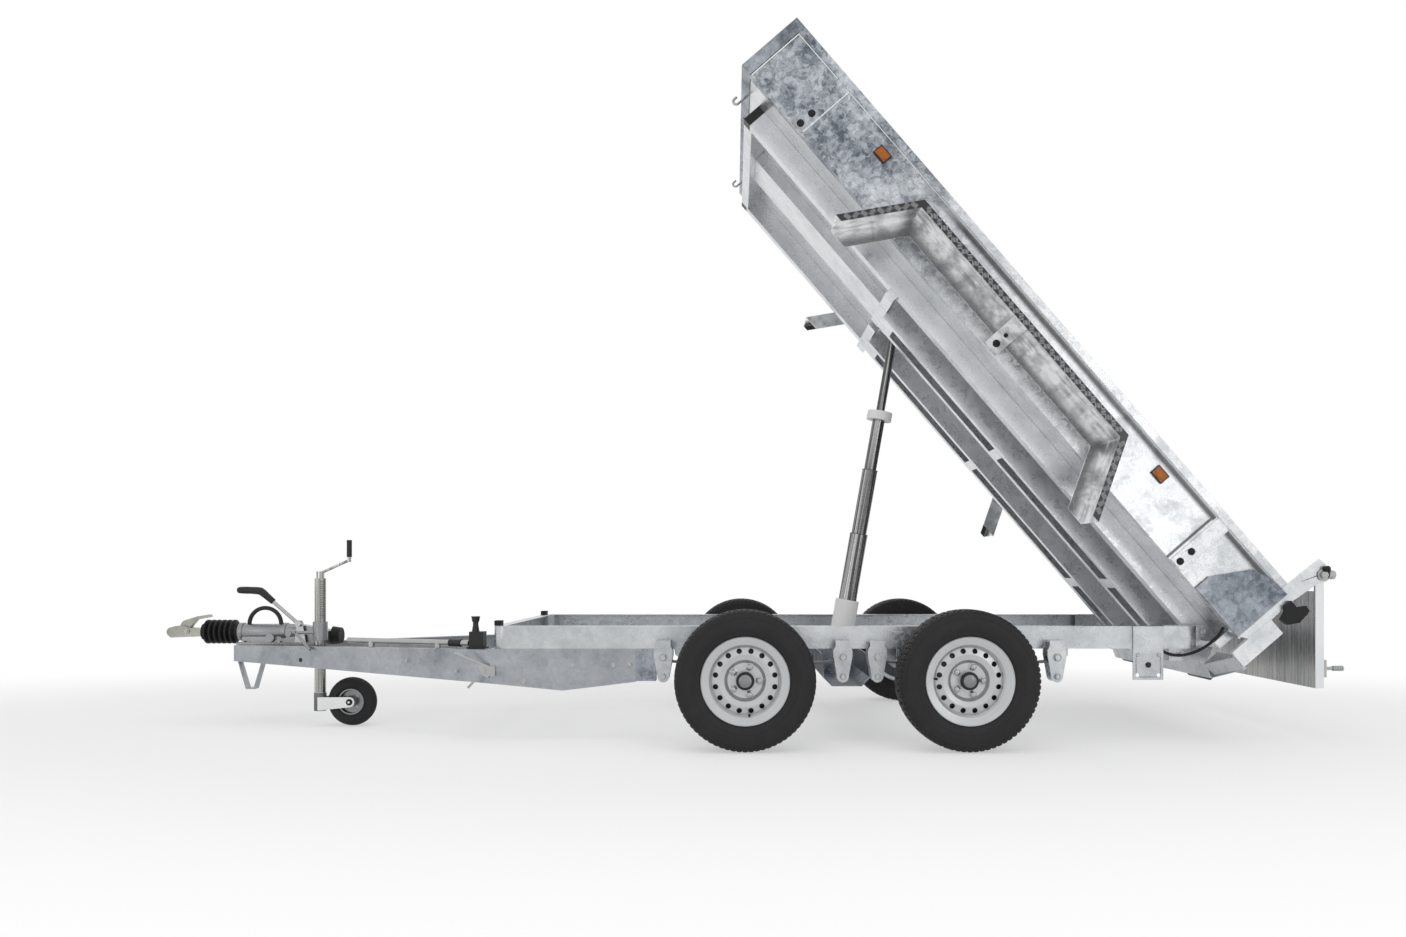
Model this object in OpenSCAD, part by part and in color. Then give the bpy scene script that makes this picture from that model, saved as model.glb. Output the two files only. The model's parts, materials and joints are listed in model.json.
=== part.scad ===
// Tandem-axle tipping trailer with its bed raised, standing on four wheels and a jockey wheel.
// The drawbar points to -X, the tailgate is at +X, and the ground is z = 0.

/* [Running gear] */
// Outside diameter of a road tyre
tyre_d = 628; // [560:2:680]
// Width of a road tyre
tyre_w = 195; // [165:5:215]
// Seat diameter of the road rim
rim_d = 356; // [330:1:381]
// Distance between the middles of the left and right tyres
track_w = 1878; // [1860:2:1900]
// Front axle, measured from the middle of the trailer's length
front_axle_x = 151; // [131:1:171]
// Distance between the two axles
axle_gap = 985; // [960:1:1000]
// Square section of an axle beam
axle_s = 70; // [60:1:80]
// Width of a leaf spring
leaf_w = 56; // [45:1:60]
// Thickness of one spring leaf
leaf_t = 9; // [7:0.5:11]
// Distance between the two eyes of a spring
spring_l = 826; // [800:1:840]

/* [Chassis] */
// Width over the chassis rails
chassis_w = 1400; // [1380:2:1410]
// Height of a chassis rail
rail_h = 105; // [95:1:110]
// Flange width of a chassis rail
rail_w = 55; // [45:1:60]
// Plate thickness of the chassis rails
rail_t = 4; // [3:0.5:6]
// Height of the rails' underside
rail_z = 435; // [430:1:440]
// Front end of the chassis rails
chassis_front_x = -1028; // [-1060:1:-1000]
// Outer bend radius at the chassis corners
corner_r = 60; // [45:1:80]

/* [Tipping hinge] */
// Hinge line of the bed, from the middle of the trailer's length
hinge_x = 2313; // [2300:1:2330]
// Height of the hinge line
hinge_z = 510; // [505:1:515]
// Diameter of the hinge pins
hinge_d = 30; // [25:1:36]
// Angle of the raised bed
tilt = 49.1; // [40:0.1:50]

/* [Drawbar] */
// Front end of the drawbar beams
drawbar_front_x = -2533; // [-2560:1:-2500]
// Half width over the drawbar beams at the front end
drawbar_front_y = 62; // [56:1:70]
// Plate thickness of the drawbar beams
drawbar_t = 5; // [4:0.5:6]
// Flange width of the drawbar beams
drawbar_flange = 40; // [32:1:44]
// Height of the coupling's axis
coupling_z = 475; // [470:1:480]

/* [Jockey wheel] */
// Place of the jockey wheel's post along the trailer
jockey_x = -2037; // [-2050:1:-2020]
// Place of the post across the trailer
jockey_y = -165; // [-168:1:-160]
// Diameter of the jockey wheel's tyre
jockey_d = 250; // [240:2:260]
// Width of the jockey wheel's tyre
jockey_w = 80; // [70:1:85]
// Trail of the jockey wheel behind its post
jockey_trail = 168; // [166:1:175]
// Diameter of the post
jockey_post_d = 56; // [55:1:60]

/* [Bed] */
// Width over the bed's sides
bed_w = 1622; // [1610:2:1630]
// Length of the bed ahead of its hinge line
bed_l = 3385; // [3360:1:3400]
// Underside of the floor above the hinge line
floor_up = 58; // [56:1:62]
// Height of the sides above the floor's underside
wall_h = 329; // [300:1:350]
// Sheet thickness of the bed
sheet_t = 4; // [3:0.5:5]
// Depth of the top rail of a side
top_rail = 40; // [30:1:50]
// Width over the bed's two longitudinal tubes
tube_span = 1200; // [1180:2:1210]
// Height of the longitudinal tubes
tube_h = 94; // [85:1:96]
// Width of the longitudinal tubes
tube_w = 60; // [50:1:70]

/* [Fenders] */
// Outer edge of the fenders from the middle of the trailer
fender_y = 1046; // [1042:1:1056]
// Fender top above the hinge line
fender_up = 200; // [190:1:215]
// Sheet thickness of the fenders
fender_t = 3; // [2:0.5:4]
// Depth of the fenders' outer flange
fender_flange = 32; // [25:1:40]

/* [Tailgate] */
// Tailgate pivot above the hinge line
gate_pivot_up = 531; // [528:1:536]
// Tailgate pivot behind the hinge line
gate_pivot_back = 103; // [101:1:106]
// Depth of the tailgate below its pivot
gate_drop = 519; // [510:1:522]
// Thickness of the tailgate
gate_t = 40; // [35:1:41]

/* [Cylinder] */
// Trunnion of the tipping cylinder, along the trailer
trunnion_x = 655; // [650:1:660]
// Height of the trunnion
trunnion_z = 340; // [335:1:345]
// Upper pin of the cylinder, ahead of the hinge line
pin_fwd = 2070; // [2060:1:2080]
// Outside diameter of the barrel
barrel_d = 124; // [118:1:128]
// Length of the barrel above its trunnion
barrel_up = 309; // [300:1:312]
// Length of the barrel below its trunnion
barrel_down = 105; // [95:1:110]

/* [Hidden] */
$fn = 48;

left = -1;
right = 1;
run = 0.3;                            // gap between pieces that move past each other
pin_run = 0.06;                       // gap round a pin or a sliding post
galv = "silver";
dark_galv = "slategray";
rubber = "#1c1c1e";

axle_z = tyre_d / 2;
rear_axle_x = front_axle_x + axle_gap;
tyre_r = tyre_d / 2;
wheel_y = track_w / 2;
rail_y = chassis_w / 2;
rail_in_y = rail_y - rail_w;
rail_top = rail_z + rail_h;
rail_back = 32;                       // the rails end this far ahead of the hinge line
rail_rear_x = hinge_x - rail_back;
bed_y = bed_w / 2;
floor_top = floor_up + sheet_t;
wall_top = floor_up + wall_h;
sill_front = 38;                      // front and rear faces of the bed's sill behind the hinge line
sill_rear = 78;
tube_y = tube_span / 2;
tube_low = floor_up - tube_h;

// Arc of points round c from angle a0 to a1
function arc(c, r, a0, a1, n) =
    [for (i = [0:n]) c + r * [cos(a0 + (a1 - a0) * i / n), sin(a0 + (a1 - a0) * i / n)]];

// Puts shapes drawn in the lowered bed's own frame on the raised bed
module raised() {
    translate([hinge_x, 0, hinge_z]) rotate([0, tilt, 0]) children();
}

// Outline in x and z, given a thickness from y0 to y1
module side_plate(points, y0, y1) {
    translate([0, y1, 0]) rotate([90, 0, 0]) linear_extrude(y1 - y0) polygon(points);
}

// The same on one side of the trailer, y0 and y1 measured outward
module on_side(side) {
    if (side == left) mirror([0, 1, 0]) children();
    else children();
}

module both_sides() {
    for (side = [left, right]) on_side(side) children();
}

// Round bar along Y
module cross_bar(x, z, d, y0, y1) {
    translate([x, y1, z]) rotate([90, 0, 0]) cylinder(d = d, h = y1 - y0);
}

// Round bar between two points
module rod_between(a, b, d) {
    v = b - a;
    l = norm(v);
    translate(a) rotate([0, acos(v.z / l), atan2(v.y, v.x)]) cylinder(d = d, h = l);
}

// CHASSIS

// Channel section of a rail, web at x = 0 and flanges toward +x
module rail_section() {
    difference() {
        square([rail_w, rail_h]);
        translate([rail_t, rail_t]) square([rail_w, rail_h - 2 * rail_t]);
    }
}

rear_cross_z = 375;                   // the rear cross-member passes under the bed's floor beams
rear_cross_h = 30;
rear_cross_w = 60;
ear_r = 32;
ear_t = 15;

module chassis_frame() {
    rail_l = rail_rear_x - chassis_front_x - 2 * corner_r;
    ear_x = rail_rear_x - 150;
    cross_y = rail_in_y + 15;
    color(galv) {
        both_sides() {
            translate([chassis_front_x + corner_r, rail_y, rail_z]) rotate([90, 0, 90])
                mirror([1, 0, 0]) linear_extrude(rail_l) rail_section();
            // front and rear corner bends
            for (end = [[chassis_front_x + corner_r, 90], [rail_rear_x - corner_r, 0]])
                translate([end.x, rail_y - corner_r, rail_z]) rotate([0, 0, end.y])
                    rotate_extrude(angle = 90) translate([corner_r, 0]) mirror([1, 0]) rail_section();
            // ear with the hinge pin
            side_plate(concat([[ear_x, hinge_z + ear_r], [ear_x, rail_z], [rail_rear_x, rail_z]],
                arc([hinge_x, hinge_z], ear_r, -100, 90, 12)), rail_in_y - ear_t, rail_in_y + 2);
            cross_bar(hinge_x, hinge_z, hinge_d, tube_y - tube_w - 8, rail_in_y + 12);
            // riser of the rear cross-member
            translate([rail_rear_x - 131, cross_y - 12, rear_cross_z])
                cube([rear_cross_w, 12, rail_z + 1 - rear_cross_z]);
        }
        translate([chassis_front_x, -rail_y + corner_r, rail_z]) rotate([90, 0, 0]) mirror([0, 0, 1])
            linear_extrude(chassis_w - 2 * corner_r) rail_section();
        // rear cross-member
        translate([rail_rear_x - 131, -cross_y, rear_cross_z]) difference() {
            cube([rear_cross_w, 2 * cross_y, rear_cross_h]);
            translate([rail_t, -1, -1])
                cube([rear_cross_w - 2 * rail_t, 2 * cross_y + 2, rear_cross_h - rail_t + 1]);
        }
    }
}

beam_x0 = 518;
beam_x1 = 740;
beam_low = 259;
beam_top = 405;                       // top of the beam between the rails
beam_t = 5;
window_y = 85;                        // half width of the opening that the cylinder swings in
trunnion_d = 40;

// Folded beam across the chassis that carries the cylinder's trunnion
module cylinder_crossbeam() {
    function outline(t) = [
        [beam_x0 + t, rail_z + t], [beam_x0 + t, beam_low + 41 + t / 2], [beam_x0 + 42, beam_low + t],
        [beam_x1 - 40, beam_low + t], [beam_x1 - t, beam_low + 41 + t / 2], [beam_x1 - t, rail_z + t]];
    color(dark_galv) {
        both_sides() difference() {
            side_plate([for (p = outline(0)) [p.x, min(p.y, rail_z)]], window_y, rail_y);
            side_plate(outline(beam_t), window_y + 12, rail_y + 1);
            translate([beam_x0 - 1, window_y - 1, beam_top])
                cube([beam_x1 - beam_x0 + 2, rail_in_y - 20 - window_y, rail_z - beam_top + 1]);
            cross_bar(trunnion_x, trunnion_z, trunnion_d + 2 * pin_run, window_y - 1, window_y + 13);
        }
        // strip that joins the two halves under the cylinder's forward swing
        side_plate([[beam_x0, beam_low + 47], [beam_x0, beam_low + 41], [beam_x0 + 42, beam_low],
                    [beam_x0 + 48, beam_low], [beam_x0 + 48, beam_low + beam_t],
                    [beam_x0 + 44, beam_low + beam_t], [beam_x0 + beam_t, beam_low + 43],
                    [beam_x0 + beam_t, beam_low + 47]], -window_y, window_y);
    }
}

plate_x0 = 1963;
plate_w = 142;
plate_low = 290;
plate_t = 8;

// Bolting plates under the rear of the rails
module rear_plates() {
    holes = [[22, 22, 19], [120, 22, 19], [22, 117, 10], [120, 117, 10], [71, 70, 12]];  // x, z, d
    color(galv) both_sides() difference() {
        translate([plate_x0, rail_y, plate_low]) cube([plate_w, plate_t, rail_top - plate_low]);
        for (h = holes) cross_bar(plate_x0 + h.x, plate_low + h.y, h.z, rail_y - 1, rail_y + plate_t + 1);
    }
}

module rail_buffers() {
    color(rubber) both_sides()
        translate([chassis_front_x - 4, rail_in_y - 60, rail_top]) cube([34, 50, 23]);
}

// DRAWBAR

bend_x = -1037;
wing_rear_x = -356;
wing_low = 239;
bend_low = 272;
beam_angle = atan2(rail_y - drawbar_front_y, bend_x - drawbar_front_x);
beam_l = norm([bend_x - drawbar_front_x, rail_y - drawbar_front_y]);
beam_front_z = 407;                   // top of the drawbar beams at their front end

// Channel with its web outward at y = 0, from an outline of top and bottom points along x
module tapered_channel(top, bottom) {
    function inset(points, d) = [for (p = points) [p.x, p.y + d]];
    function ring(a, b) = concat(a, [for (i = [len(b) - 1:-1:0]) b[i]]);
    difference() {
        side_plate(ring(top, bottom), -drawbar_flange, 0);
        side_plate(ring(inset(top, -drawbar_t), inset(bottom, drawbar_t)), -drawbar_flange - 1, -drawbar_t);
    }
}

module drawbar(side) {
    color(galv) on_side(side) {
        translate([0, rail_y, 0]) tapered_channel(
            [[bend_x, rail_z], [wing_rear_x, rail_z]],
            [[bend_x, bend_low], [bend_x + 340, wing_low], [wing_rear_x, wing_low + 41]]);
        translate([drawbar_front_x, drawbar_front_y, 0]) rotate([0, 0, beam_angle]) tapered_channel(
            [[0, beam_front_z], [beam_l, rail_z - 5]],
            [[0, 323], [beam_l, bend_low]]);
    }
}

// Spacer boxes under the rails behind the drawbar's wings
module drawbar_spacers() {
    spacer = [94, 50, rail_z - wing_low - 45];
    color(dark_galv) both_sides()
        translate([wing_rear_x + run, rail_y - spacer.y, rail_z - run - spacer.z]) difference() {
            cube(spacer);
            translate([6, -1, 6]) cube([spacer.x - 12, spacer.y - 5, spacer.z - 12]);
        }
}

module drawbar_left() { drawbar(left); }
module drawbar_right() { drawbar(right); }

// Half width inside the drawbar's webs at a place along the trailer
function drawbar_in_y(x) =
    drawbar_front_y + (x - drawbar_front_x) * tan(beam_angle) - drawbar_t / cos(beam_angle);

deck_z = 409;                         // underside of the housing, clear of the rising drawbar beams

module drawbar_ties() {
    plate_x = drawbar_front_x + 10;
    foot_top = 331;
    foot_y = 25;
    color(galv) {
        // closing plate under the coupling, and two cross ties
        translate([plate_x, -drawbar_in_y(plate_x) + run, foot_top])
            cube([6, 2 * drawbar_in_y(plate_x) - 2 * run, beam_front_z - 8 - foot_top]);
        for (tie = [-1600, -1250])
            translate([tie, -drawbar_in_y(tie) + run, 330]) cube([50, 2 * drawbar_in_y(tie) - 2 * run, 6]);
        // V-shaped strap foot
        for (s = [-1, 1])
            side_plate([[foot_x + s * 70, foot_top], [foot_x + s * 64, foot_top],
                        [foot_x + s * 18, foot_z + 8], [foot_x, foot_z + 8],
                        [foot_x, foot_z], [foot_x + s * 24, foot_z]], -foot_y, foot_y);
        translate([foot_x - 70, -foot_y, foot_top]) cube([140, 2 * foot_y, 5]);
    }
}

foot_x = -2464;
foot_z = 171;

housing_x0 = -2525;
housing_x1 = -2031;
housing_d = 84;

// Cast housing of the overrun coupling
module overrun_housing() {
    color("darkgray") {
        translate([housing_x0, -56, deck_z]) cube([housing_x1 - housing_x0, 112, 12]);
        translate([housing_x0, 0, coupling_z]) rotate([0, 90, 0]) cylinder(d = housing_d, h = 330);
        for (x = [0, 230])
            translate([housing_x0 + x, 0, coupling_z]) rotate([0, 90, 0])
                cylinder(d = housing_d + 12, h = 22);
        side_plate([[housing_x0 + 20, deck_z], [housing_x0 + 20, coupling_z],
                    [housing_x0 + 330, coupling_z + 38], [housing_x1 - 60, coupling_z + 20],
                    [housing_x1, coupling_z + 6], [housing_x1, deck_z]], -34, 34);
        // bosses of the lever shaft and the brake rod
        cross_bar(housing_x0 + 175, coupling_z - 30, 46, -52, 52);
        cross_bar(housing_x0 + 270, coupling_z - 8, 34, -46, 46);
    }
}

bellows_x0 = -2720;

// Folded gaiter of the draw shaft and the cap on the housing's rear end
module bellows() {
    folds = 6;
    pitch = (housing_x0 - bellows_x0) / (folds + 1);
    profile = concat([[0, 0], [43.5, 0], [43.5, pitch * 0.5]],
        [for (i = [0:folds - 1], p = [[63.5, 0.75], [63.5, 1.05], [46, 1.3]]) [p.x, pitch * (i + p.y)]],
        [[46, (folds + 1) * pitch], [0, (folds + 1) * pitch]]);
    color(rubber) {
        translate([bellows_x0, 0, coupling_z]) rotate([0, 90, 0]) rotate_extrude() polygon(profile);
        // cap on the housing's rear end
        translate([housing_x1 + run, 0, coupling_z - 20]) rotate([0, 90, 0])
            cylinder(d1 = 98, d2 = 84, h = 44);
    }
}

nose_x = -2903;
ball_x = -2848;
ball_d = 50;

module coupling_head() {
    color("khaki") difference() {
        union() {
            side_plate(concat([[nose_x + 22, coupling_z - 30]],
                arc([nose_x + 26, coupling_z], 26, 240, 120, 6),
                [[nose_x + 50, coupling_z + 32], [nose_x + 84, coupling_z + 34],
                 [nose_x + 118, coupling_z + 22], [bellows_x0, coupling_z + 18],
                 [bellows_x0, coupling_z - 24], [nose_x + 120, coupling_z - 26]]), -34, 34);
            cross_bar(nose_x + 108, coupling_z + 4, 30, -40, 40);
            // release handle on top
            side_plate([[nose_x + 60, coupling_z + 30], [nose_x + 78, coupling_z + 58],
                        [bellows_x0 - 30, coupling_z + 82], [bellows_x0 + 34, coupling_z + 92],
                        [bellows_x0 + 40, coupling_z + 78], [bellows_x0 - 34, coupling_z + 64],
                        [nose_x + 112, coupling_z + 20]], -16, 16);
        }
        translate([ball_x, 0, coupling_z - 12]) sphere(d = ball_d + 1);
        translate([ball_x, 0, coupling_z - 62]) cylinder(d = ball_d + 1, h = 50);
    }
}

lever_pivot = [-2191, -62, 519];
lever_knee = [-2390, -62, 693];
lever_end = [-2505, -62, 697];
grip_start = lever_pivot + (lever_knee - lever_pivot) * 0.69;

module handbrake_lever() {
    color("gainsboro") {
        rod_between(lever_pivot, grip_start, 20);
        cross_bar(lever_pivot.x, lever_pivot.z, 30, -77, -34);
        side_plate([[lever_pivot.x - 24, deck_z + 12], [lever_pivot.x - 14, lever_pivot.z + 18],
                    [lever_pivot.x + 14, lever_pivot.z + 18], [lever_pivot.x + 34, deck_z + 12]], -55, -47);
    }
}

// Bent grip of the handbrake and the moulded grab handle on the housing
module hand_grips() {
    grab = [-2394, coupling_z + housing_d / 2 + run];
    color(rubber) {
        rod_between(grip_start, lever_knee, 30);
        translate(lever_knee) sphere(d = 36);
        rod_between(lever_knee, lever_end, 30);
        translate([grab.x, 0, grab.y]) rotate([90, 0, 0]) rotate_extrude(angle = 180)
            translate([84, 0]) circle(d = 22);
    }
}

// JOCKEY WHEEL

clamp_z0 = 440;
clamp_z1 = 536;
post_r = jockey_post_d / 2;
post_top = 760;
post_low = 172;
head_top = post_low;
head_low = 76;

module jockey_clamp() {
    wall = 9;
    turn = [jockey_x - 114, jockey_y - 35, 480];       // where the clamp's shaft meets its handle
    color("gray") difference() {
        union() {
            translate([jockey_x, jockey_y, clamp_z0]) cylinder(r = post_r + wall, h = clamp_z1 - clamp_z0);
            translate([jockey_x - 30, jockey_y, deck_z + 12]) cube([34, -jockey_y - 34, 60]);
            rod_between([jockey_x - 20, jockey_y - 15, 480], turn, 18);
            translate(turn) sphere(d = 20);
            rod_between(turn, [jockey_x - 3, jockey_y - 125, 400], 14);
        }
        translate([jockey_x, jockey_y, clamp_z0 - 100]) cylinder(r = post_r + pin_run, h = 300);
    }
}

crank = [jockey_x + 150, jockey_y, 870];      // underside of the crank's grip

module jockey_post() {
    color("gainsboro") {
        translate([jockey_x, jockey_y, post_low]) cylinder(r = post_r, h = post_top - post_low);
        translate([jockey_x, jockey_y, post_top]) cylinder(r = 20, h = 36);
        rod_between([jockey_x, jockey_y, post_top + 26], crank - [0, 0, 16], 14);
        translate(crank - [0, 0, 26]) cylinder(d = 18, h = 26);
    }
}

module crank_grip() {
    color(rubber) translate(crank) cylinder(d = 26, h = 88);
}

jockey_axle_z = jockey_d / 2;

module jockey_fork() {
    cheek_in = jockey_w / 2 + 6;
    cheek_t = 6;
    fork_front = 5;
    color("gainsboro") translate([jockey_x, jockey_y, 0]) {
        translate([0, 0, head_low]) cylinder(r = post_r + 2, h = head_top - run - head_low);
        for (s = [-1, 1]) on_side(s)
            side_plate(concat([[fork_front, 150], [fork_front, 82]],
                arc([jockey_trail, jockey_axle_z], 26, -90, 90, 8)), cheek_in, cheek_in + cheek_t);
        for (s = [-1, 1]) on_side(s)
            translate([fork_front, post_r - 14, 82]) cube([26, cheek_in - post_r + 15, 68]);
        cross_bar(jockey_trail, jockey_axle_z, 16, -cheek_in - cheek_t - 8, cheek_in + cheek_t + 8);
    }
}

module jockey_rim() {
    color("lightgray") translate([jockey_x + jockey_trail, jockey_y, jockey_axle_z]) rotate([90, 0, 0])
        rotate_extrude() polygon([[8 + pin_run, -40], [20, -40], [20, -8], [56, -8], [60, -30], [66.5, -30],
            [66.5, 30], [60, 30], [56, 8], [20, 8], [20, 40], [8 + pin_run, 40]]);
}

module jockey_tyre() {
    r = jockey_d / 2;
    w = jockey_w / 2;
    color(rubber) translate([jockey_x + jockey_trail, jockey_y, jockey_axle_z]) rotate([90, 0, 0])
        rotate_extrude() polygon(concat([[66.5, -30], [80, -w]], arc([r - w * 0.75, 0], w * 0.75, -70, 70, 8),
            [[80, w], [66.5, 30]]));
}

// HAND PUMP AND LATCHES

pump_x = -1118;
pump_y = -600;

// Height of the drawbar's top at a place along the trailer
function drawbar_top(x) =
    beam_front_z + (rail_z - 5 - beam_front_z) * (x - drawbar_front_x) / (bend_x - drawbar_front_x);

pump_z = drawbar_top(pump_x + 44) + run;

// Valve block with its knob, on a plate across the left drawbar beam
module hand_pump() {
    color(rubber) translate([pump_x, pump_y, pump_z]) {
        translate([-44, -40, 0]) cube([88, 80, 8]);
        translate([-34, -34, 8]) cube([68, 68, 72]);
        translate([-10, 0, 80]) cylinder(d1 = 36, d2 = 26, h = 30);
        translate([-10, 0, 110]) cylinder(d = 26, h = 16);
        translate([-10, 0, 126]) cylinder(d1 = 32, d2 = 42, h = 26);
    }
}

lever_tip = [-1840, -306];

// Lever tube laid along the drawbar beam on two clips
module pump_lever() {
    a = [pump_x - 34 - 6.2, pump_y, pump_z + 24];
    b = [lever_tip.x, lever_tip.y, drawbar_top(lever_tip.x) + 32];
    color("gainsboro") {
        rod_between(a, b, 28);
        for (f = [0.25, 0.8]) {
            p = a + (b - a) * f;
            translate([p.x - 10, p.y - 16, drawbar_top(p.x + 10) + run])
                cube([20, 32, p.z - drawbar_top(p.x + 10) - run]);
        }
    }
}

// Toggle levers at the bend of the drawbar
module bed_latches() {
    mid_y = rail_y + 7;
    hub = [bend_x - 30, mid_y, 332];
    color("gainsboro") both_sides() {
        translate([bend_x + 2, rail_y, 306]) cube([24, 14, 48]);
        side_plate([[bend_x - 58, 372], [bend_x - 16, 362], [bend_x + 10, 350], [bend_x + 10, 318],
                    [bend_x - 10, 298], [bend_x - 40, 316]], rail_y + 2, rail_y + 12);
        rod_between([bend_x - 163, mid_y, 417], [bend_x - 36, mid_y, 362], 14);
        rod_between([bend_x - 101, mid_y, 253], hub, 12);
        cross_bar(hub.x, hub.z, 26, rail_y + 1, rail_y + 16);
    }
}

// RUNNING GEAR

spring_y = rail_y + 40;
eye_z = 400;
eye_d = 52;
spring_mid = 39;                      // the clamp sits this far ahead of the spring's middle
seat_top = axle_z + axle_s / 2 + 10;

function eye_x(axle_x, end) = axle_x + spring_mid + end * spring_l / 2;

// Two leaves bent to an arc between the eyes, with rolled eyes at both ends
module leaf_spring(axle_x) {
    half = spring_l / 2;
    rise = eye_z - eye_d / 2 + 5 - seat_top;
    bend_r = (half * half + rise * rise) / (2 * rise);
    sweep = 2 * asin(half / bend_r);
    centre = [axle_x + spring_mid, seat_top + bend_r];
    // leaf: share of the sweep, outer radius, how much narrower on each side
    for (leaf = [[1, bend_r, 0], [0.66, bend_r - leaf_t + 1, 2]]) {
        reach = sweep * leaf.x / 2;
        side_plate(concat(arc(centre, leaf.y, -90 - reach, -90 + reach, 14),
            arc(centre, leaf.y - leaf_t, -90 + reach, -90 - reach, 14)),
            spring_y - leaf_w / 2 + leaf.z, spring_y + leaf_w / 2 - leaf.z);
    }
    for (end = [-1, 1]) difference() {
        cross_bar(eye_x(axle_x, end), eye_z, eye_d, spring_y - leaf_w / 2 - 0.5, spring_y + leaf_w / 2 + 0.5);
        cross_bar(eye_x(axle_x, end), eye_z, 20, spring_y - leaf_w / 2 - 1, spring_y + leaf_w / 2 + 1);
    }
}

module leaf_springs() {
    color("dimgray") both_sides() for (x = [front_axle_x, rear_axle_x]) leaf_spring(x);
}

// Hanger brackets: two cheeks on the rail's outer face with the eye bolt and a keeper bolt below
module spring_hangers() {
    cheek = 6;
    in_y = rail_y;
    out_y = spring_y + leaf_w / 2 + 4;
    color(galv) both_sides() for (x = [front_axle_x, rear_axle_x], end = [-1, 1]) {
        translate([eye_x(x, end), 0, 0]) {
            for (y = [in_y, out_y])
                side_plate(concat([[-34, 478], [-34, 452], [-44, 432], [-44, 408], [-27, 312]],
                    arc([0, 312], 27, 190, 350, 10),
                    [[27, 312], [44, 408], [44, 432], [34, 452], [34, 478]]), y, y + cheek);
            translate([-34, in_y + cheek, 468]) cube([68, out_y - in_y - cheek, 10]);
            cross_bar(0, eye_z, 19.6, in_y + cheek, out_y + cheek + 14);
            cross_bar(0, 312, 16, in_y + cheek, out_y + cheek + 12);
        }
    }
}

backing_y = wheel_y - 112;

module axles() {
    color("dimgray") for (x = [front_axle_x, rear_axle_x]) {
        translate([x - axle_s / 2, -backing_y, axle_z - axle_s / 2]) cube([axle_s, 2 * backing_y, axle_s]);
        both_sides() {
            cross_bar(x, axle_z, 236, backing_y - 8, backing_y);
            cross_bar(x, axle_z, 50, backing_y, wheel_y - 10);
            // spring seat and its clamp plate
            translate([x - 60, spring_y - 34, axle_z + axle_s / 2]) cube([120, 68, 10]);
        }
    }
}

bead_r = rim_d / 2;
flange_r = bead_r + 18;
rim_half = 74;

// Tyre round the Y axis, its middle at the origin
module tyre() {
    w = tyre_w / 2;
    shoulder = 26;
    color(rubber) rotate([90, 0, 0]) rotate_extrude($fn = 120) polygon(concat(
        [[bead_r, -rim_half + 6], [bead_r, rim_half - 6], [flange_r + 2, rim_half - 6],
         [flange_r + 2, rim_half + 4]],
        [[flange_r + 30, w - 5], [flange_r + 60, w]],
        arc([tyre_r - shoulder, w - shoulder - 3], shoulder, 80, 5, 6),
        arc([tyre_r - shoulder, -w + shoulder + 3], shoulder, -5, -80, 6),
        [[flange_r + 60, -w], [flange_r + 30, -w + 5]],
        [[flange_r + 2, -rim_half - 4], [flange_r + 2, -rim_half + 6]]));
}

// Pressed steel wheel with its hub and brake drum, outer face toward +Y
module rim() {
    vents = 16;
    vent_r = 133;
    nut_r = 64;
    disc_y = 30;
    color("gainsboro") difference() {
        union() {
            rotate([-90, 0, 0]) rotate_extrude($fn = 120) polygon([
                [bead_r - 6, -rim_half + 4], [flange_r - 4, -rim_half], [flange_r, -rim_half - 4],
                [flange_r, -rim_half + 5.7], [bead_r - run, -rim_half + 6], [bead_r - run, rim_half - 6],
                [flange_r, rim_half - 5.7], [flange_r, rim_half + 4], [flange_r - 4, rim_half],
                [bead_r - 6, rim_half - 4]]);
            rotate([-90, 0, 0]) rotate_extrude($fn = 120) polygon([
                [0, disc_y - 6], [80, disc_y - 6], [96, disc_y + 8], [116, disc_y + 14], [150, disc_y + 6],
                [bead_r - 6, disc_y - 20], [bead_r - 6, disc_y - 12], [150, disc_y + 14], [116, disc_y + 22],
                [92, disc_y + 16], [78, disc_y + 2], [40, disc_y + 2], [37, disc_y + 34], [28, disc_y + 40],
                [0, disc_y + 40]]);
            // dished wall between the flange and the disc
            rotate([-90, 0, 0]) rotate_extrude($fn = 120) polygon([
                [bead_r - 5, rim_half - 14], [bead_r - 5, rim_half - 5], [bead_r - 18, rim_half - 8],
                [150, disc_y + 26], [146, disc_y + 10], [152, disc_y + 10], [156, disc_y + 20]]);
            for (i = [0:4]) rotate([0, i * 72, 0]) translate([nut_r, disc_y, 0]) rotate([-90, 0, 0])
                cylinder(d = 24, h = 20, $fn = 6);
            rotate([-90, 0, 0]) translate([0, 0, -104]) cylinder(r = 113, h = 104 + disc_y - 6);
        }
        for (i = [0:vents - 1]) rotate([0, (i + 0.5) * 360 / vents, 0]) translate([vent_r, 0, 0])
            rotate([-90, 0, 0]) cylinder(d = 24, h = 80);
        rotate([-90, 0, 0]) translate([0, 0, -113]) cylinder(d = 50 + 2 * pin_run, h = 103 + pin_run);
        rotate([-90, 0, 0]) translate([0, 0, -106]) cylinder(r = 100, h = 30);
    }
}

module at_wheel(axle_x, side) {
    translate([axle_x, side * wheel_y, axle_z]) on_side(side) children();
}

module tyre_fl() { at_wheel(front_axle_x, left) tyre(); }
module rim_fl() { at_wheel(front_axle_x, left) rim(); }
module tyre_fr() { at_wheel(front_axle_x, right) tyre(); }
module rim_fr() { at_wheel(front_axle_x, right) rim(); }
module tyre_rl() { at_wheel(rear_axle_x, left) tyre(); }
module rim_rl() { at_wheel(rear_axle_x, left) rim(); }
module tyre_rr() { at_wheel(rear_axle_x, right) tyre(); }
module rim_rr() { at_wheel(rear_axle_x, right) rim(); }

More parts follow.
